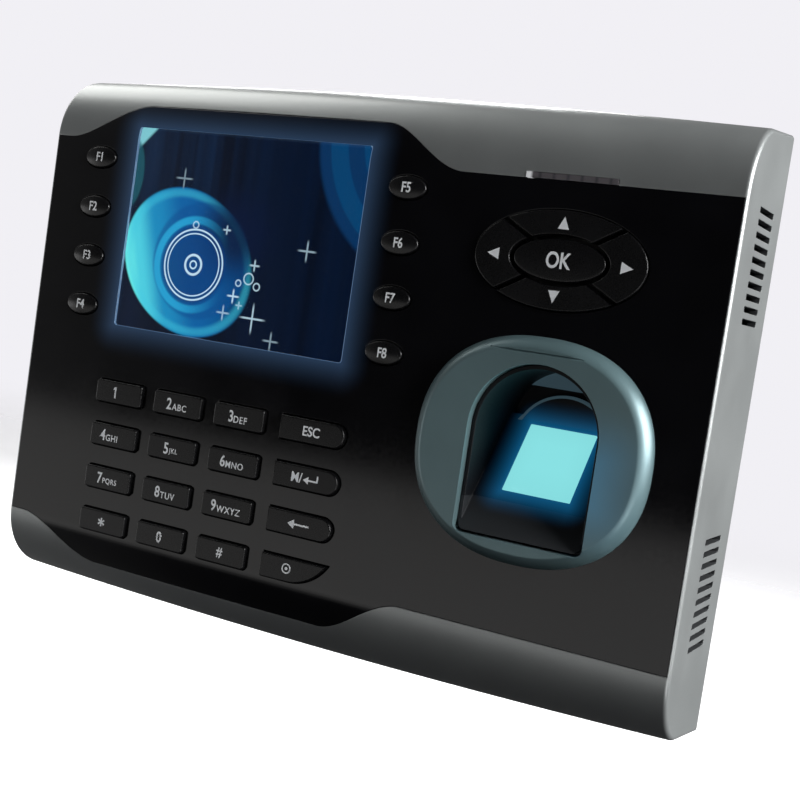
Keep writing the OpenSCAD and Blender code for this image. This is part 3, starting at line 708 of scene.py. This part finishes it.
# The picture's places are shares of its width from its middle, across and up
RINGS_AT = (-0.189, -0.112)
RING_LINES = ((0.13, 0.0032), (0.115, 0.0024), (0.036, 0.0045), (0.014, 0.003))
SMALL_RINGS = ((0.062, -0.135, 0.02), (0.1, -0.16, 0.013), (0.02, -0.155, 0.011), (-0.2, 0.035, 0.012))
CROSSES = ((0.005, -0.205, 0.024, 0.9), (0.1, -0.275, 0.048, 0.75), (-0.03, -0.27, 0.026, 0.55),
           (0.29, -0.01, 0.034, 0.5), (-0.28, 0.2, 0.034, 0.35), (0.08, -0.085, 0.02, 0.7),
           (0.19, -0.345, 0.03, 0.4), (-0.06, 0.03, 0.016, 0.7), (0.035, -0.235, 0.014, 0.5))
CROSS_LINE = 0.0034  # half the width of a cross's arm
LIT_W, LIT_H = 75 * MM, 55.6 * MM  # the area that is lit
ARCS_AT = (0.78, 0.42)
ARCS = ((0.42, 0.035), (0.31, 0.012), (0.23, 0.03))
DISC_AT, DISC_A, DISC_B = (-0.218, -0.105), 0.31, 0.255
DISC_LEAN = math.radians(-32)


def picture():
    """A made-up picture: a lit disc, thin rings and small crosses on dark blue."""
    n = Nodes(bpy.data.materials.new("lcd_picture"))
    x, _, z = n.parts(n.place)
    u, v = n.share(x, SCREEN.x, PICTURE_W), n.share(z, SCREEN.z, PICTURE_W)

    def away(cu, cv, su=1.0, sv=1.0):
        return n.length(n.share(u, cu, su), n.share(v, cv, sv))

    def ring(distance, radius, half):
        return n.below(n.off(distance, radius), half, half * 0.4)

    def cross(cu, cv, arm):
        du, dv = n.off(u, cu), n.off(v, cv)
        flat = n.times(n.below(du, arm, arm * 0.3), n.below(dv, CROSS_LINE, CROSS_LINE * 0.4))
        tall = n.times(n.below(dv, arm, arm * 0.3), n.below(du, CROSS_LINE, CROSS_LINE * 0.4))
        return n.larger(flat, tall)

    def paint(ground, mask, level, tint):
        return n.mix(n.times(mask, level), ground, tint)

    # dark ground, with pale shapes at the upper right, a lit corner and faint upright streaks
    streaks = n.rescale(n.noise(260, 3, (1, 1, 0.012)), 0, 1)
    top_left = n.below(away(-0.35, 0.3), 0.12, 0.45)
    colour = paint((0.0003, 0.0028, 0.011), streaks, 0.14, (0.003, 0.025, 0.1))
    colour = paint(colour, n.times(streaks, top_left), 0.35, (0.012, 0.06, 0.16))
    colour = paint(colour, n.below(away(*ARCS_AT), 0.5, 0.012), 0.8, (0.002, 0.035, 0.12))
    for radius, half in ARCS:
        colour = paint(colour, n.below(n.off(away(*ARCS_AT), radius), half, 0.004), 0.45, (0.001, 0.075, 0.2))
    colour = n.mix(n.below(n.minus(u, v), -0.805, 0.01), colour, (0.2, 0.55, 0.6))
    colour = paint(colour, n.below(away(-0.53, 0.2, 0.45, 1.0), 0.13, 0.012), 0.8, (0.01, 0.09, 0.12))
    # the disc, bright along its left rim and dark towards its right
    du, dv = n.minus(u, DISC_AT[0]), n.minus(v, DISC_AT[1])
    cos, sin = math.cos(DISC_LEAN), math.sin(DISC_LEAN)
    disc_distance = n.length(n.sum("DIVIDE", n.sum("ADD", n.times(du, cos), n.times(dv, sin)), DISC_A),
                             n.sum("DIVIDE", n.sum("ADD", n.times(du, -sin), n.times(dv, cos)), DISC_B))
    side = n.sum("ADD", u, n.times(v, 0.3))
    lit = n.ramp(n.sum("MULTIPLY_ADD", side, 1.5, 0.8),
                 [(0.0, (0.15, 0.86, 0.8)), (0.09, (0.07, 0.6, 0.72)), (0.24, (0.008, 0.24, 0.48)),
                  (0.45, (0.001, 0.11, 0.34)), (0.9, (0.0005, 0.01, 0.045))], smooth=True)
    lit = paint(lit, n.below(n.off(disc_distance, 0.93), 0.05, 0.04), 0.4, (0.05, 0.56, 0.72))
    colour = n.mix(n.below(disc_distance, 1.0, 0.02), colour, lit)
    colour = paint(colour, n.below(away(-0.16, -0.095), 0.215, 0.008), 0.6, (0.001, 0.07, 0.26))
    colour = paint(colour, n.below(away(-0.02, 0.02), 0.13, 0.09), 0.85, (0.001, 0.006, 0.03))
    centre = away(*RINGS_AT)
    left = n.below(u, -0.15, 0.12)
    colour = paint(colour, n.times(ring(centre, 0.165, 0.014), left), 0.8, (0.02, 0.38, 0.66))
    colour = paint(colour, n.below(centre, 0.145, 0.01), 0.7, (0.001, 0.04, 0.17))
    # thin white rings round one point, a few small rings, and crosses
    marks = [ring(centre, radius, half) for radius, half in RING_LINES]
    marks += [n.times(ring(away(cu, cv), radius, 0.0028), 0.7) for cu, cv, radius in SMALL_RINGS]
    marks += [n.times(cross(cu, cv, arm), level) for cu, cv, arm, level in CROSSES]
    all_marks = marks[0]
    for mark in marks[1:]:
        all_marks = n.larger(all_marks, mark)
    colour = paint(colour, all_marks, 0.85, (0.6, 0.82, 0.95))
    # black outside the lit area
    edge = n.larger(n.minus(n.sum("ABSOLUTE", u), LIT_W / 2 / PICTURE_W),
                    n.minus(n.sum("ABSOLUTE", v), LIT_H / 2 / PICTURE_W))
    colour = n.mix(n.below(edge, 0, 0.001), (0, 0, 0), colour)
    n.set(Base_Color=(0.001, 0.001, 0.001), Roughness=0.4, Specular_IOR_Level=0.05, Emission_Color=colour,
          Emission_Strength=1.1)
    return n.owner


MATERIALS = {
    "silver_paint": silver_paint(),
    "black_gloss": fascia_black(),
    "key_black": surface("key_black", KEY_BLACK, 0.28, grain=2600, depth=0.004, mottle=0.25,
                         Specular_IOR_Level=0.32).owner,
    # white print, with a faint painted glow from its emission
    "ink": surface("legend_white", INK_WHITE, 0.5, grain=5000, depth=0.002, mottle=0.04,
                   Emission_Color=INK_WHITE, Emission_Strength=0.12).owner,
    "bezel_silver": bezel_silver(),
    "cup_black": cup_black(),
    "sensor_glass": sensor_glass(),
    "screen_glass": window_clear(),
    # the rim of the window, with a painted glow where light from the screen leaves it
    "window_edge": surface("window_edge", (0.1, 0.12, 0.14), 0.2, grain=2000, depth=0.001, mottle=0.1,
                           Emission_Color=(0.09, 0.17, 0.3)).owner,
    "light_bar": light_bar(),
    "picture": picture(),
}

PLAIN = {
    # slot: colour, roughness, grain, depth, mottle, and metallic for a metal
    "foam": ((0.02, 0.02, 0.02), 0.9, 900, 0.03, 0.2),
    "lcd_metal": ((0.5, 0.5, 0.48), 0.35, 1200, 0.004, 0.08, 1.0),
    "white_plastic": ((0.7, 0.7, 0.68), 0.45, 1500, 0.006, 0.05),
    "clear_plastic": ((0.5, 0.5, 0.48), 0.3, 1500, 0.004, 0.08),
    "module_black": ((0.012, 0.012, 0.012), 0.5, 1500, 0.01, 0.15),
    "silicone": ((0.35, 0.35, 0.34), 0.7, 1500, 0.01, 0.08),
    "circuit_board": ((0.01, 0.08, 0.03), 0.4, 700, 0.01, 0.25),
    "plated_metal": ((0.55, 0.55, 0.52), 0.3, 2000, 0.003, 0.08, 1.0),
    "terminal_green": ((0.02, 0.22, 0.05), 0.45, 1500, 0.008, 0.08),
    "speaker_black": ((0.012, 0.012, 0.012), 0.6, 1500, 0.012, 0.15),
    "rear_plastic": ((0.028, 0.03, 0.032), 0.55, 1700, 0.03, 0.12),
    "screw_steel": ((0.42, 0.41, 0.4), 0.32, 2500, 0.004, 0.12, 1.0),
    "plate_steel": ((0.46, 0.47, 0.47), 0.42, 350, 0.006, 0.1, 0.9),
    "ribbon_film": ((0.3, 0.13, 0.03), 0.3, 900, 0.003, 0.1),
    "cable_sleeve": ((0.01, 0.01, 0.01), 0.5, 1500, 0.01, 0.1),
}
for slot, (colour, rough, grain, depth, mottle, *metallic) in PLAIN.items():
    MATERIALS[slot] = surface(slot, colour, rough, *metallic, grain=grain, depth=depth, mottle=mottle).owner

# ---------- case ----------

VENT_TOPS = (50.85 * MM, -23.15 * MM)
VENT_COUNT = 10
VENT_PITCH = 2.73 * MM
VENT_H = 1.3 * MM
VENT_D = (12 * MM, 26 * MM)
STEP_D = 12 * MM  # where the case's wall gets thinner
BEYOND = 1 * MM  # how far a cutter runs past what it cuts
OUTSIDE = HALF_W + BEYOND
LOOSE = 0.05 * MM  # how much larger the fascia's recess is
SEAT_R = SPIGOT_R + 0.3 * MM  # hole for the bezel's spigot
SPANS = 20  # slices of the case, so that its long faces can bend

function_keys = [f"key_f{i}" for i in range(1, 9)]
number_keys = [f"key_{i}" for i in (1, 2, 3, 4, 5, 6, 7, 8, 9, "star", 0, "hash")]
side_keys = ["key_esc", "key_menu_enter", "key_back"]
arrow_keys = ["key_up", "key_left", "key_down", "key_right"]


def face_of(node):
    """Centre, width and height of a key's face. Its box is a flange wider."""
    outline = node_outline(node)
    xs, zs = [p[0] for p in outline], [p[1] for p in outline]
    return middle_of(xs), middle_of(zs), max(xs) - min(xs), max(zs) - min(zs)


def key_outline(node):
    if node in arrow_keys:
        return node_outline(node)
    cx, cz, w, h = face_of(node)
    if node in function_keys or node == "key_ok":
        return ellipse(cx, cz, w / 2, h / 2, 72)
    if node in side_keys:
        return side_key(cx, cz, w, h)
    if node == "key_power":
        return power_key(cx, cz, w, h)
    return rounded(cx, cz, w, h, 0.8 * MM)


ok_x, ok_z, _, _ = face_of("key_ok")
pad_left, pad_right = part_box("key_left")[0].x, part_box("key_right")[1].x
PAD_A = (pad_right - pad_left) / 2 - 1 * MM
PAD_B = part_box("key_up")[1].z - ok_z - 1 * MM


def openings(d1):
    """Cutters for the holes that the keys stand in, from before the front to depth d1."""
    single = function_keys + number_keys + side_keys + ["key_power"]
    outlines = [grown(key_outline(k), KEY_GAP) for k in single]
    outlines.append(ellipse(ok_x, ok_z, PAD_A + KEY_GAP, PAD_B + KEY_GAP))
    return join("openings", [prism("opening", o, -3 * MM, d1) for o in outlines])


def skin_piece(piece, name, width, slot, node, inside=None):
    """Bends a piece of the case's skin as the case is bent, rounds its edges and finishes it."""
    for v in piece.data.vertices:
        bend(v)
    piece.data.update()
    soften(clean(piece, 0.02), width)
    finish_piece(piece, "terminal", slot, node)
    smooth_skin(piece, inside)
    piece.name = name


def core(inset):
    """The case's section drawn in by inset, and longer than the case."""
    return across("core", case_profile(inset), -OUTSIDE, OUTSIDE)


def seat_outline():
    return ellipse(SPIGOT_X, BEZEL_Z, SEAT_R, SEAT_R, 128)


def make_housing():
    """The silver shell: open at the back, recessed for the fascia, and vented at its right end."""
    ends = [(HALF_W - END_ROUND + x, END_ROUND - z)
            for x, z in reversed(arc(0, 0, END_ROUND, END_ROUND, 0, 90, 6))]
    cuts = [(2 * i / SPANS - 1) * (HALF_W - END_ROUND) for i in range(1, SPANS)]
    stations = [(-x, inset) for x, inset in reversed(ends)] + [(x, 0) for x in cuts] + ends
    loops = [[(x, FRONT + d, z) for d, z in case_profile(inset)] for x, inset in stations]
    body = stack("case", loops)
    inside = HALF_W - WALL
    deep = [p for p in case_profile(WALL, CASE_D + BEYOND) if p[0] >= STEP_D]
    combine(body, "DIFFERENCE",
            across("cavity", case_profile(INNER_D, CASE_D + BEYOND), -inside, inside, cuts),
            across("cavity", deep, -inside, inside, cuts))
    recess = prism("recess", wave(LOOSE), -BEYOND, SHOULDER_D)
    combine(recess, "DIFFERENCE", core(FASCIA_T + LOOSE))
    slots = []
    for top in VENT_TOPS:
        for i in range(VENT_COUNT):
            slot = rounded(sum(VENT_D) / 2, top - i * VENT_PITCH, VENT_D[1] - VENT_D[0], VENT_H, 0.4 * MM, 4)
            slots.append(across("slot", slot, inside - BEYOND, OUTSIDE))
    holes = [prism("hole", outline, -2 * MM, 6 * MM)
             for outline in (box_outline("led_light_pipe", 0.3 * MM, 0.15 * MM, 2),
                             box_outline("lcd_panel", 0.6 * MM, 0.5 * MM, 3, SCREEN.x), seat_outline())]
    combine(body, "DIFFERENCE", recess, join("slots", slots), openings(6 * MM), *holes)
    skin_piece(body, "housing", 0.18 * MM, "silver_paint", "front_housing", MATERIALS["rear_plastic"])


def shell(outline):
    """An outline cut from a sheet on the front of the case, following its round shoulders."""
    piece = prism("shell", outline, -BEYOND, SHOULDER_D)
    combine(piece, "INTERSECT", core(0))
    return combine(piece, "DIFFERENCE", core(FASCIA_T))


def make_fascia():
    """The black sheet over the front, with holes for the window, the bezel and the keys."""
    piece = shell(wave(0))
    holes = [prism("hole", outline, -3 * MM, 9 * MM)
             for outline in (box_outline("screen_window", 0.1 * MM, 0.85 * MM), seat_outline())]
    combine(piece, "DIFFERENCE", openings(9 * MM), *holes)
    skin_piece(piece, "fascia", 0.12 * MM, "black_gloss", "front_fascia")


def make_window():
    """The clear window, whose rim has a painted glow."""
    piece = shell(box_outline("screen_window", 0, 0.8 * MM))
    skin_piece(piece, "window", 0.2 * MM, "screen_glass", "screen_window")
    piece.data.materials.append(MATERIALS["window_edge"])
    for face in piece.data.polygons:
        if abs(face.normal.y) < 0.9:
            face.material_index = 1


make_housing()
make_fascia()
make_window()

# ---------- keys ----------


FLANGE_W = FLANGE_T = 1 * MM  # the rim behind a key that holds it in


def make_key(node, edge, drop, flange):
    """A key: a flange behind, straight sides, a rounded edge, and a face that domes by drop."""
    outline = key_outline(node)
    lo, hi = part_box(node)
    middle = Vector((sum(p[0] for p in outline), sum(p[1] for p in outline))) / len(outline)

    def loop(points, y):
        return [(x, y, z) for x, z in points]

    wide = grown(outline, flange)
    loops = [loop(wide, hi.y), loop(wide, hi.y - FLANGE_T), loop(outline, hi.y - FLANGE_T)]
    steps = 5
    for i in range(steps + 1):
        a = math.pi / 2 * i / steps
        inset = edge * (1 - math.cos(a))
        loops.append(loop(grown(outline, -inset), lo.y + drop + edge * (1 - math.sin(a))))
    rim = grown(outline, -edge)
    for share in (0.93, 0.82, 0.66, 0.46, 0.24) if drop else ():
        points = [(middle.x + (x - middle.x) * share, middle.y + (z - middle.y) * share) for x, z in rim]
        loops.append(loop(points, lo.y + drop * share ** 2))
    piece = shade(stack(node + "_cap", loops), 50)
    finish_piece(piece, node, "key_black", node)


for nodes, edge, drop, flange in (
        (function_keys, 0.45 * MM, 0.35 * MM, FLANGE_W), (number_keys + side_keys, 0.4 * MM, 0, FLANGE_W),
        (["key_power"], 0.3 * MM, 0, FLANGE_W), (["key_ok"], 0.35 * MM, 0.15 * MM, 0),
        (arrow_keys, 0.3 * MM, 0, 0)):
    for node in nodes:
        make_key(node, edge, drop, flange)

# ---------- legends ----------

INK_T = 0.03 * MM  # thickness of a legend
INK_SINK = 0.01 * MM  # of which this much lies in the key
DIGIT_H = 3.0 * MM
LETTER_H = 1.75 * MM


def text_mesh(text, height, squeeze=0.8, weight=0.02, spread=1.0):
    """Letters of a height, facing -Y, with their left edge and their foot at the origin."""
    curve = bpy.data.curves.new("letters", "FONT")
    curve.body = text
    curve.offset = weight
    curve.space_character = spread
    curve.extrude = 0.5
    curve.resolution_u = 4
    obj = link("letters", curve)
    bpy.context.view_layer.update()
    mesh = bpy.data.meshes.new_from_object(obj.evaluated_get(bpy.context.evaluated_depsgraph_get()))
    bpy.data.objects.remove(obj)
    xs, ys = [v.co.x for v in mesh.vertices], [v.co.y for v in mesh.vertices]
    scale = height / (max(ys) - min(ys))
    for v in mesh.vertices:
        x, y = (v.co.x - min(xs)) * scale * squeeze, (v.co.y - min(ys)) * scale
        v.co = (x, -INK_T * (v.co.z + 0.5), y)
    return link("letters", mesh)


def flat_mark(outline):
    return stack("mark", [[(x, y, z) for x, z in outline] for y in (-INK_T, 0)])


def ring_mark(r0, r1):
    loops = [[(c * r, y, s * r) for r, y in ((r0, -INK_T), (r1, -INK_T), (r1, 0), (r0, 0))]
             for c, s in ellipse(0, 0, 1, 1, 48)]
    return stack("mark", loops, closed=True)


def bar_mark(x0, x1, z0, z1):
    return flat_mark([(x0, z0), (x1, z0), (x1, z1), (x0, z1)])


def row(parts, gap=0.25 * MM):
    """Marks side by side, sharing one foot line."""
    at = 0.0
    for part in parts:
        xs = [v.co.x for v in part.data.vertices]
        for v in part.data.vertices:
            v.co.x += at - min(xs)
        at += max(xs) - min(xs) + gap
    return join("row", parts)


def put_legend(node, mark, dx=0.0, dz=0.0):
    """Centres a mark on a key's face, offset by dx and dz."""
    cx, cz, _, _ = face_of(node)
    xs, zs = [v.co.x for v in mark.data.vertices], [v.co.z for v in mark.data.vertices]
    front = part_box(node)[0].y + INK_SINK
    shift = Vector((cx + dx - middle_of(xs), front, cz + dz - middle_of(zs)))
    for v in mark.data.vertices:
        v.co += shift
    mark.name = node + "_legend"
    finish_piece(mark, node, "key_black", look="ink")


def one_mark(height):
    """A figure one with a small flag."""
    w = height * 0.16
    return flat_mark([(0, 0), (w, 0), (w, height), (w * 0.35, height), (-w * 0.9, height * 0.83),
                      (-w * 0.9, height * 0.7), (0, height * 0.79)])


def turned(points, angle):
    """Points given in millimetres, turned about the origin, in metres."""
    a = math.radians(angle)
    return [((x * math.cos(a) - z * math.sin(a)) * MM, (x * math.sin(a) + z * math.cos(a)) * MM)
            for x, z in points]


def arrow_mark(length, head, thick):
    """A long arrow that points left."""
    tip = [(0, 0), (head, head * 0.62), (head, -head * 0.62)]
    return [flat_mark(tip), bar_mark(head, length, -thick / 2, thick / 2)]


def make_legends():
    for i, node in enumerate(function_keys):
        put_legend(node, text_mesh(f"F{i + 1}", 2.5 * MM))
    letters = ("", "ABC", "DEF", "GHI", "JKL", "MNO", "PQRS", "TUV", "WXYZ")
    for node, digit, group in zip(number_keys, "123456789", letters):
        parts = [text_mesh(digit, DIGIT_H) if digit != "1" else one_mark(DIGIT_H)]
        if group:
            parts.append(text_mesh(group, LETTER_H, 0.92, 0.015, 1.12))
        put_legend(node, row(parts), -1.2 * MM if digit in "14" else 0)
    star = [flat_mark(turned([(-0.2, 0), (0.2, 0), (0.24, 1.15), (-0.24, 1.15)], 60 * i)) for i in range(6)]
    put_legend("key_star", join("star", star))
    put_legend("key_0", text_mesh("0", DIGIT_H))
    put_legend("key_hash", text_mesh("#", DIGIT_H * 0.9))
    put_legend("key_esc", text_mesh("ESC", 2.5 * MM, 0.9))
    back = join("back", arrow_mark(6.2 * MM, 1.9 * MM, 0.45 * MM))
    put_legend("key_back", back)
    enter = join("enter", arrow_mark(4.2 * MM, 1.5 * MM, 0.42 * MM)
                 + [bar_mark(3.8 * MM, 4.2 * MM, -0.2 * MM, 1.5 * MM)])
    for v in enter.data.vertices:
        v.co.z += 0.95 * MM
    put_legend("key_menu_enter", row([text_mesh("M/", 2.5 * MM, 0.9), enter]))
    power = join("power", [ring_mark(0.95 * MM, 1.3 * MM), ring_mark(0.05 * MM, 0.4 * MM)])
    put_legend("key_power", power, -1.6 * MM, 0.35 * MM)
    put_legend("key_ok", text_mesh("OK", 3.8 * MM, 0.78))
    for node, turn, dx, dz in (("key_up", 0, 0, 8.4), ("key_left", 90, -16, 0),
                               ("key_down", 180, 0, -8.2), ("key_right", 270, 16, 0)):
        points = turned([(-1.35, -1.35), (1.35, -1.35), (0, 1.5)], turn)
        cx, cz, _, _ = face_of(node)
        put_legend(node, flat_mark(points), ok_x + dx * MM - cx, ok_z + dz * MM - cz)


make_legends()

# ---------- reader ----------

# Section of the bezel's rim, in millimetres: how far in from the outline, and how far proud
BEZEL_RIM = ((0, 0), (0, 0.5), (0.25, 1.15), (0.6, 1.8), (1, 2.38), (1.5, 2.93), (2, 3.33), (2.5, 3.62),
             (3, 3.8))
SPIGOT_D = 4.7 * MM
CREASE_Z = 22.2 * MM  # the crease at the top of the bezel, above its middle
CREASE_X = (-11.5 * MM, 10.5 * MM)
CREASE_W, CREASE_D = 0.9 * MM, 0.35 * MM


def arch():
    """The bezel's opening: round at its top, square at its foot."""
    r, c, low = ARCH_R, ARCH_CORNER, ARCH_LOW_Z + ARCH_CORNER
    return (arc(ARCH_X, ARCH_MID_Z, r, r, 0, 180, 64)
            + arc(ARCH_X - r + c, low, c, c, 180, 270, 8)
            + arc(ARCH_X + r - c, low, c, c, 270, 360, 8))


def oval(a, b, power=2.3, steps=160):
    """An ellipse with squarer shoulders, round the middle of the bezel."""
    def squarer(share):
        return math.copysign(abs(share) ** (2 / power), share)

    return [(BEZEL_X + a * squarer(x), BEZEL_Z + b * squarer(z)) for x, z in ellipse(0, 0, 1, 1, steps)]


def make_bezel():
    """The bezel: a flat face, a rounded rim that is flatter at its top and foot, and an arched opening."""
    loops = [[(x, FRONT - proud * MM, z) for x, z in oval(BEZEL_R - back * MM, BEZEL_FOOT - back * MM)]
             for back, proud in BEZEL_RIM]
    piece = stack("bezel", loops)
    spigot = prism("spigot", ellipse(SPIGOT_X, BEZEL_Z, SPIGOT_R, SPIGOT_R, 160), -1 * MM, SPIGOT_D)
    middle = BEZEL_Z + CREASE_Z
    crease = [(d - BEZEL_PROUD, middle + z)
              for d, z in ((-BEYOND, -CREASE_W), (CREASE_D, 0), (-BEYOND, CREASE_W))]
    line = across("crease", crease, BEZEL_X + CREASE_X[0], BEZEL_X + CREASE_X[1])
    combine(piece, "UNION", spigot)
    combine(piece, "DIFFERENCE", prism("hole", arch(), -9 * MM, 9 * MM), line)
    soften(clean(piece, 0.05), 0.12 * MM, angle=25)
    finish_piece(piece, "terminal", "bezel_silver", "reader_bezel")


make_bezel()

# ---------- softened copies of CAD shapes ----------

node_slots = {s["node"]: s["material_slot"] for s in frame["record"]["subparts"]}


def soft_copy(name, node, body, width, shape=None, segments=2):
    """A CAD node's shape with its edges rounded, and changed first by shape where one is given."""
    piece = cad_copy(name, node)
    if shape:
        shape(piece)
    soften(piece, width, segments)
    finish_piece(piece, body, node_slots[node], node)


BEND_Z = (64 * MM, 66 * MM)  # the cover's plates bend from the second height, and not before the first


def fit_crown(obj):
    """Cuts a piece across every 10 mm and bends its top and bottom edges as the case's are bent."""
    with editing(obj.data) as bm:
        for i in range(-9, 10):
            parts = list(bm.verts) + list(bm.edges) + list(bm.faces)
            bmesh.ops.bisect_plane(bm, geom=parts, plane_co=(i * 10 * MM, 0, 0), plane_no=(1, 0, 0))
        for v in bm.verts:
            bend(v, min(max((abs(v.co.z) - BEND_Z[0]) / (BEND_Z[1] - BEND_Z[0]), 0), 1))


def cross_recesses(obj):
    """Cuts a cross into the heads of four screws, one in each quarter of the back."""
    arm, half, deep = 1.3 * MM, 0.28 * MM, 0.9 * MM
    cross = [(half, half), (half, arm), (-half, arm), (-half, half), (-arm, half), (-arm, -half),
             (-half, -half), (-half, -arm), (half, -arm), (half, -half), (arm, -half), (arm, half)]
    cutters = []
    for sx, sz in ((1, 1), (-1, 1), (-1, -1), (1, -1)):
        screw = [v.co for v in obj.data.vertices if v.co.x * sx > 0 and v.co.z * sz > 0]
        cx, cz = middle_of([p.x for p in screw]), middle_of([p.z for p in screw])
        top = max(p.y for p in screw) - FRONT
        cutters.append(prism("cross", [(x + cx, z + cz) for x, z in cross], top - deep, top + BEYOND))
    combine(obj, "DIFFERENCE", join("crosses", cutters))


soft_copy("guide", "finger_guide", "terminal", 0.18 * MM)
soft_copy("sensor_lens", "sensor_window", "terminal", 0.25 * MM, segments=3)
soft_copy("back_cover", "rear_cover", "terminal", 0.3 * MM, fit_crown)
soft_copy("back_screws", "rear_cover_screws", "terminal", 0.15 * MM, cross_recesses)
soft_copy("plate", "wall_plate", "wall_plate", 0.2 * MM)
soft_copy("lock", "lock_screw", "wall_plate", 0.25 * MM)
soft_copy("plunger", "tamper_plunger", "tamper_plunger", 0.2 * MM)
for node in ("terminal_block", "ethernet_jack", "usb_socket", "power_jack"):
    soft_copy(node + "_shell", node, "terminal", 0.15 * MM)

# ---------- the rest: CAD shapes with their own materials ----------

own_looks = {"lcd_panel": "picture", "led_light_pipe": "light_bar"}
for node, slot in node_slots.items():
    look = own_looks.get(node, slot)
    if look in MATERIALS:
        mesh = frame["nodes"][node].data
        mesh.materials.clear()
        mesh.materials.append(MATERIALS[look])

# ---------- floor and light ----------

FLOOR_Z = -0.33
CARD_Z = -0.3


def slab(name, colour, glow, strength, fade, outline, z, *hidden_from):
    """A thin level slab that glows, fades away at its edges and is hidden from some kinds of ray."""
    n = surface(name, colour, 0.9, grain=300, depth=0.01, mottle=0.01, blotch=3,
                Emission_Color=glow, Emission_Strength=strength)
    x, y, _ = n.parts(n.place)
    n.set(Alpha=fade(n, x, y))
    obj = stack(name, [[(x, y, z + dz) for x, y in outline] for dz in (-0.02, 0)])
    obj.data.materials.append(n.owner)
    for kind in hidden_from:
        setattr(obj, "visible_" + kind, False)


def fade_floor(n, x, y):
    return n.times(n.step(y, 2.6, 0.4), n.step(n.sum("ABSOLUTE", x), 3.4, 2.0))


def fade_card(n, x, y):
    return n.times(n.step(y, -2.05, -1.92), n.step(y, -0.45, -0.75))


def make_stage():
    """A pale floor behind the terminal, and a card on the ground in front that its face reflects."""
    slab("floor", (0.86, 0.86, 0.87), (0.96, 0.96, 0.97), 0.6, fade_floor,
         ellipse(0, 0.6, 3.6, 3.0), FLOOR_Z, "diffuse", "glossy")
    slab("card", (0.2, 0.2, 0.2), (0.72, 0.71, 0.7), 1.0, fade_card,
         ellipse(-0.3, 0, 3.24, 3.0), CARD_Z, "camera", "diffuse")


# Each lamp's place, width and height, power, and colour if not white; all face the terminal
LAMPS = {
    "key_right": ((1.3, -0.05, 0.5), (1.0, 0.9), 56),
    "sky_left": ((-1.35, 0.35, 1.25), (1.1, 1.1), 15, (1, 1, 0.97)),
    "rim_top": ((-0.8, 1.4, 1.0), (0.3, 0.35), 4),
    "fill_left": ((-1.2, -0.6, -0.25), (0.6, 0.5), 2),
    "fill_low": ((0.85, -0.75, -0.5), (0.5, 0.5), 3.5),
    "back_left": ((-0.9, 1.5, 0.5), (0.8, 0.8), 14),
}


def make_lights():
    """Soft light from the right, from above at the left and from behind, before a dark room."""
    for name, (place, size, power, *colour) in LAMPS.items():
        data = bpy.data.lights.new(name, "AREA")
        data.shape = "RECTANGLE"
        data.size, data.size_y = size
        data.energy = power
        if colour:
            data.color = colour[0]
        light = link(name, data)
        light.location = place
        light.rotation_mode = "QUATERNION"
        light.rotation_quaternion = (-Vector(place)).to_track_quat("-Z", "Y")


def make_room():
    """A dark room to reflect, paler behind and at the left. The camera sees white."""
    world = bpy.data.worlds.new("world")
    bpy.context.scene.world = world
    n = Nodes(world, "Background")
    x, y, _ = n.parts(n.coordinates["Generated"])
    room = n.ramp(n.sum("MULTIPLY_ADD", y, 0.5, 0.5),
                  [(0.3, (0.018, 0.018, 0.02)), (0.85, (0.05, 0.05, 0.052))])
    room = n.mix(1, room, n.step(x, -0.5, -0.85, 0.28), "ADD")
    seen = n.add("ShaderNodeLightPath").outputs["Is Camera Ray"]
    n.set(Color=n.mix(seen, room, (0.88, 0.87, 0.91)))


make_stage()
make_lights()
make_room()

bpy.context.scene.view_settings.view_transform = "Standard"
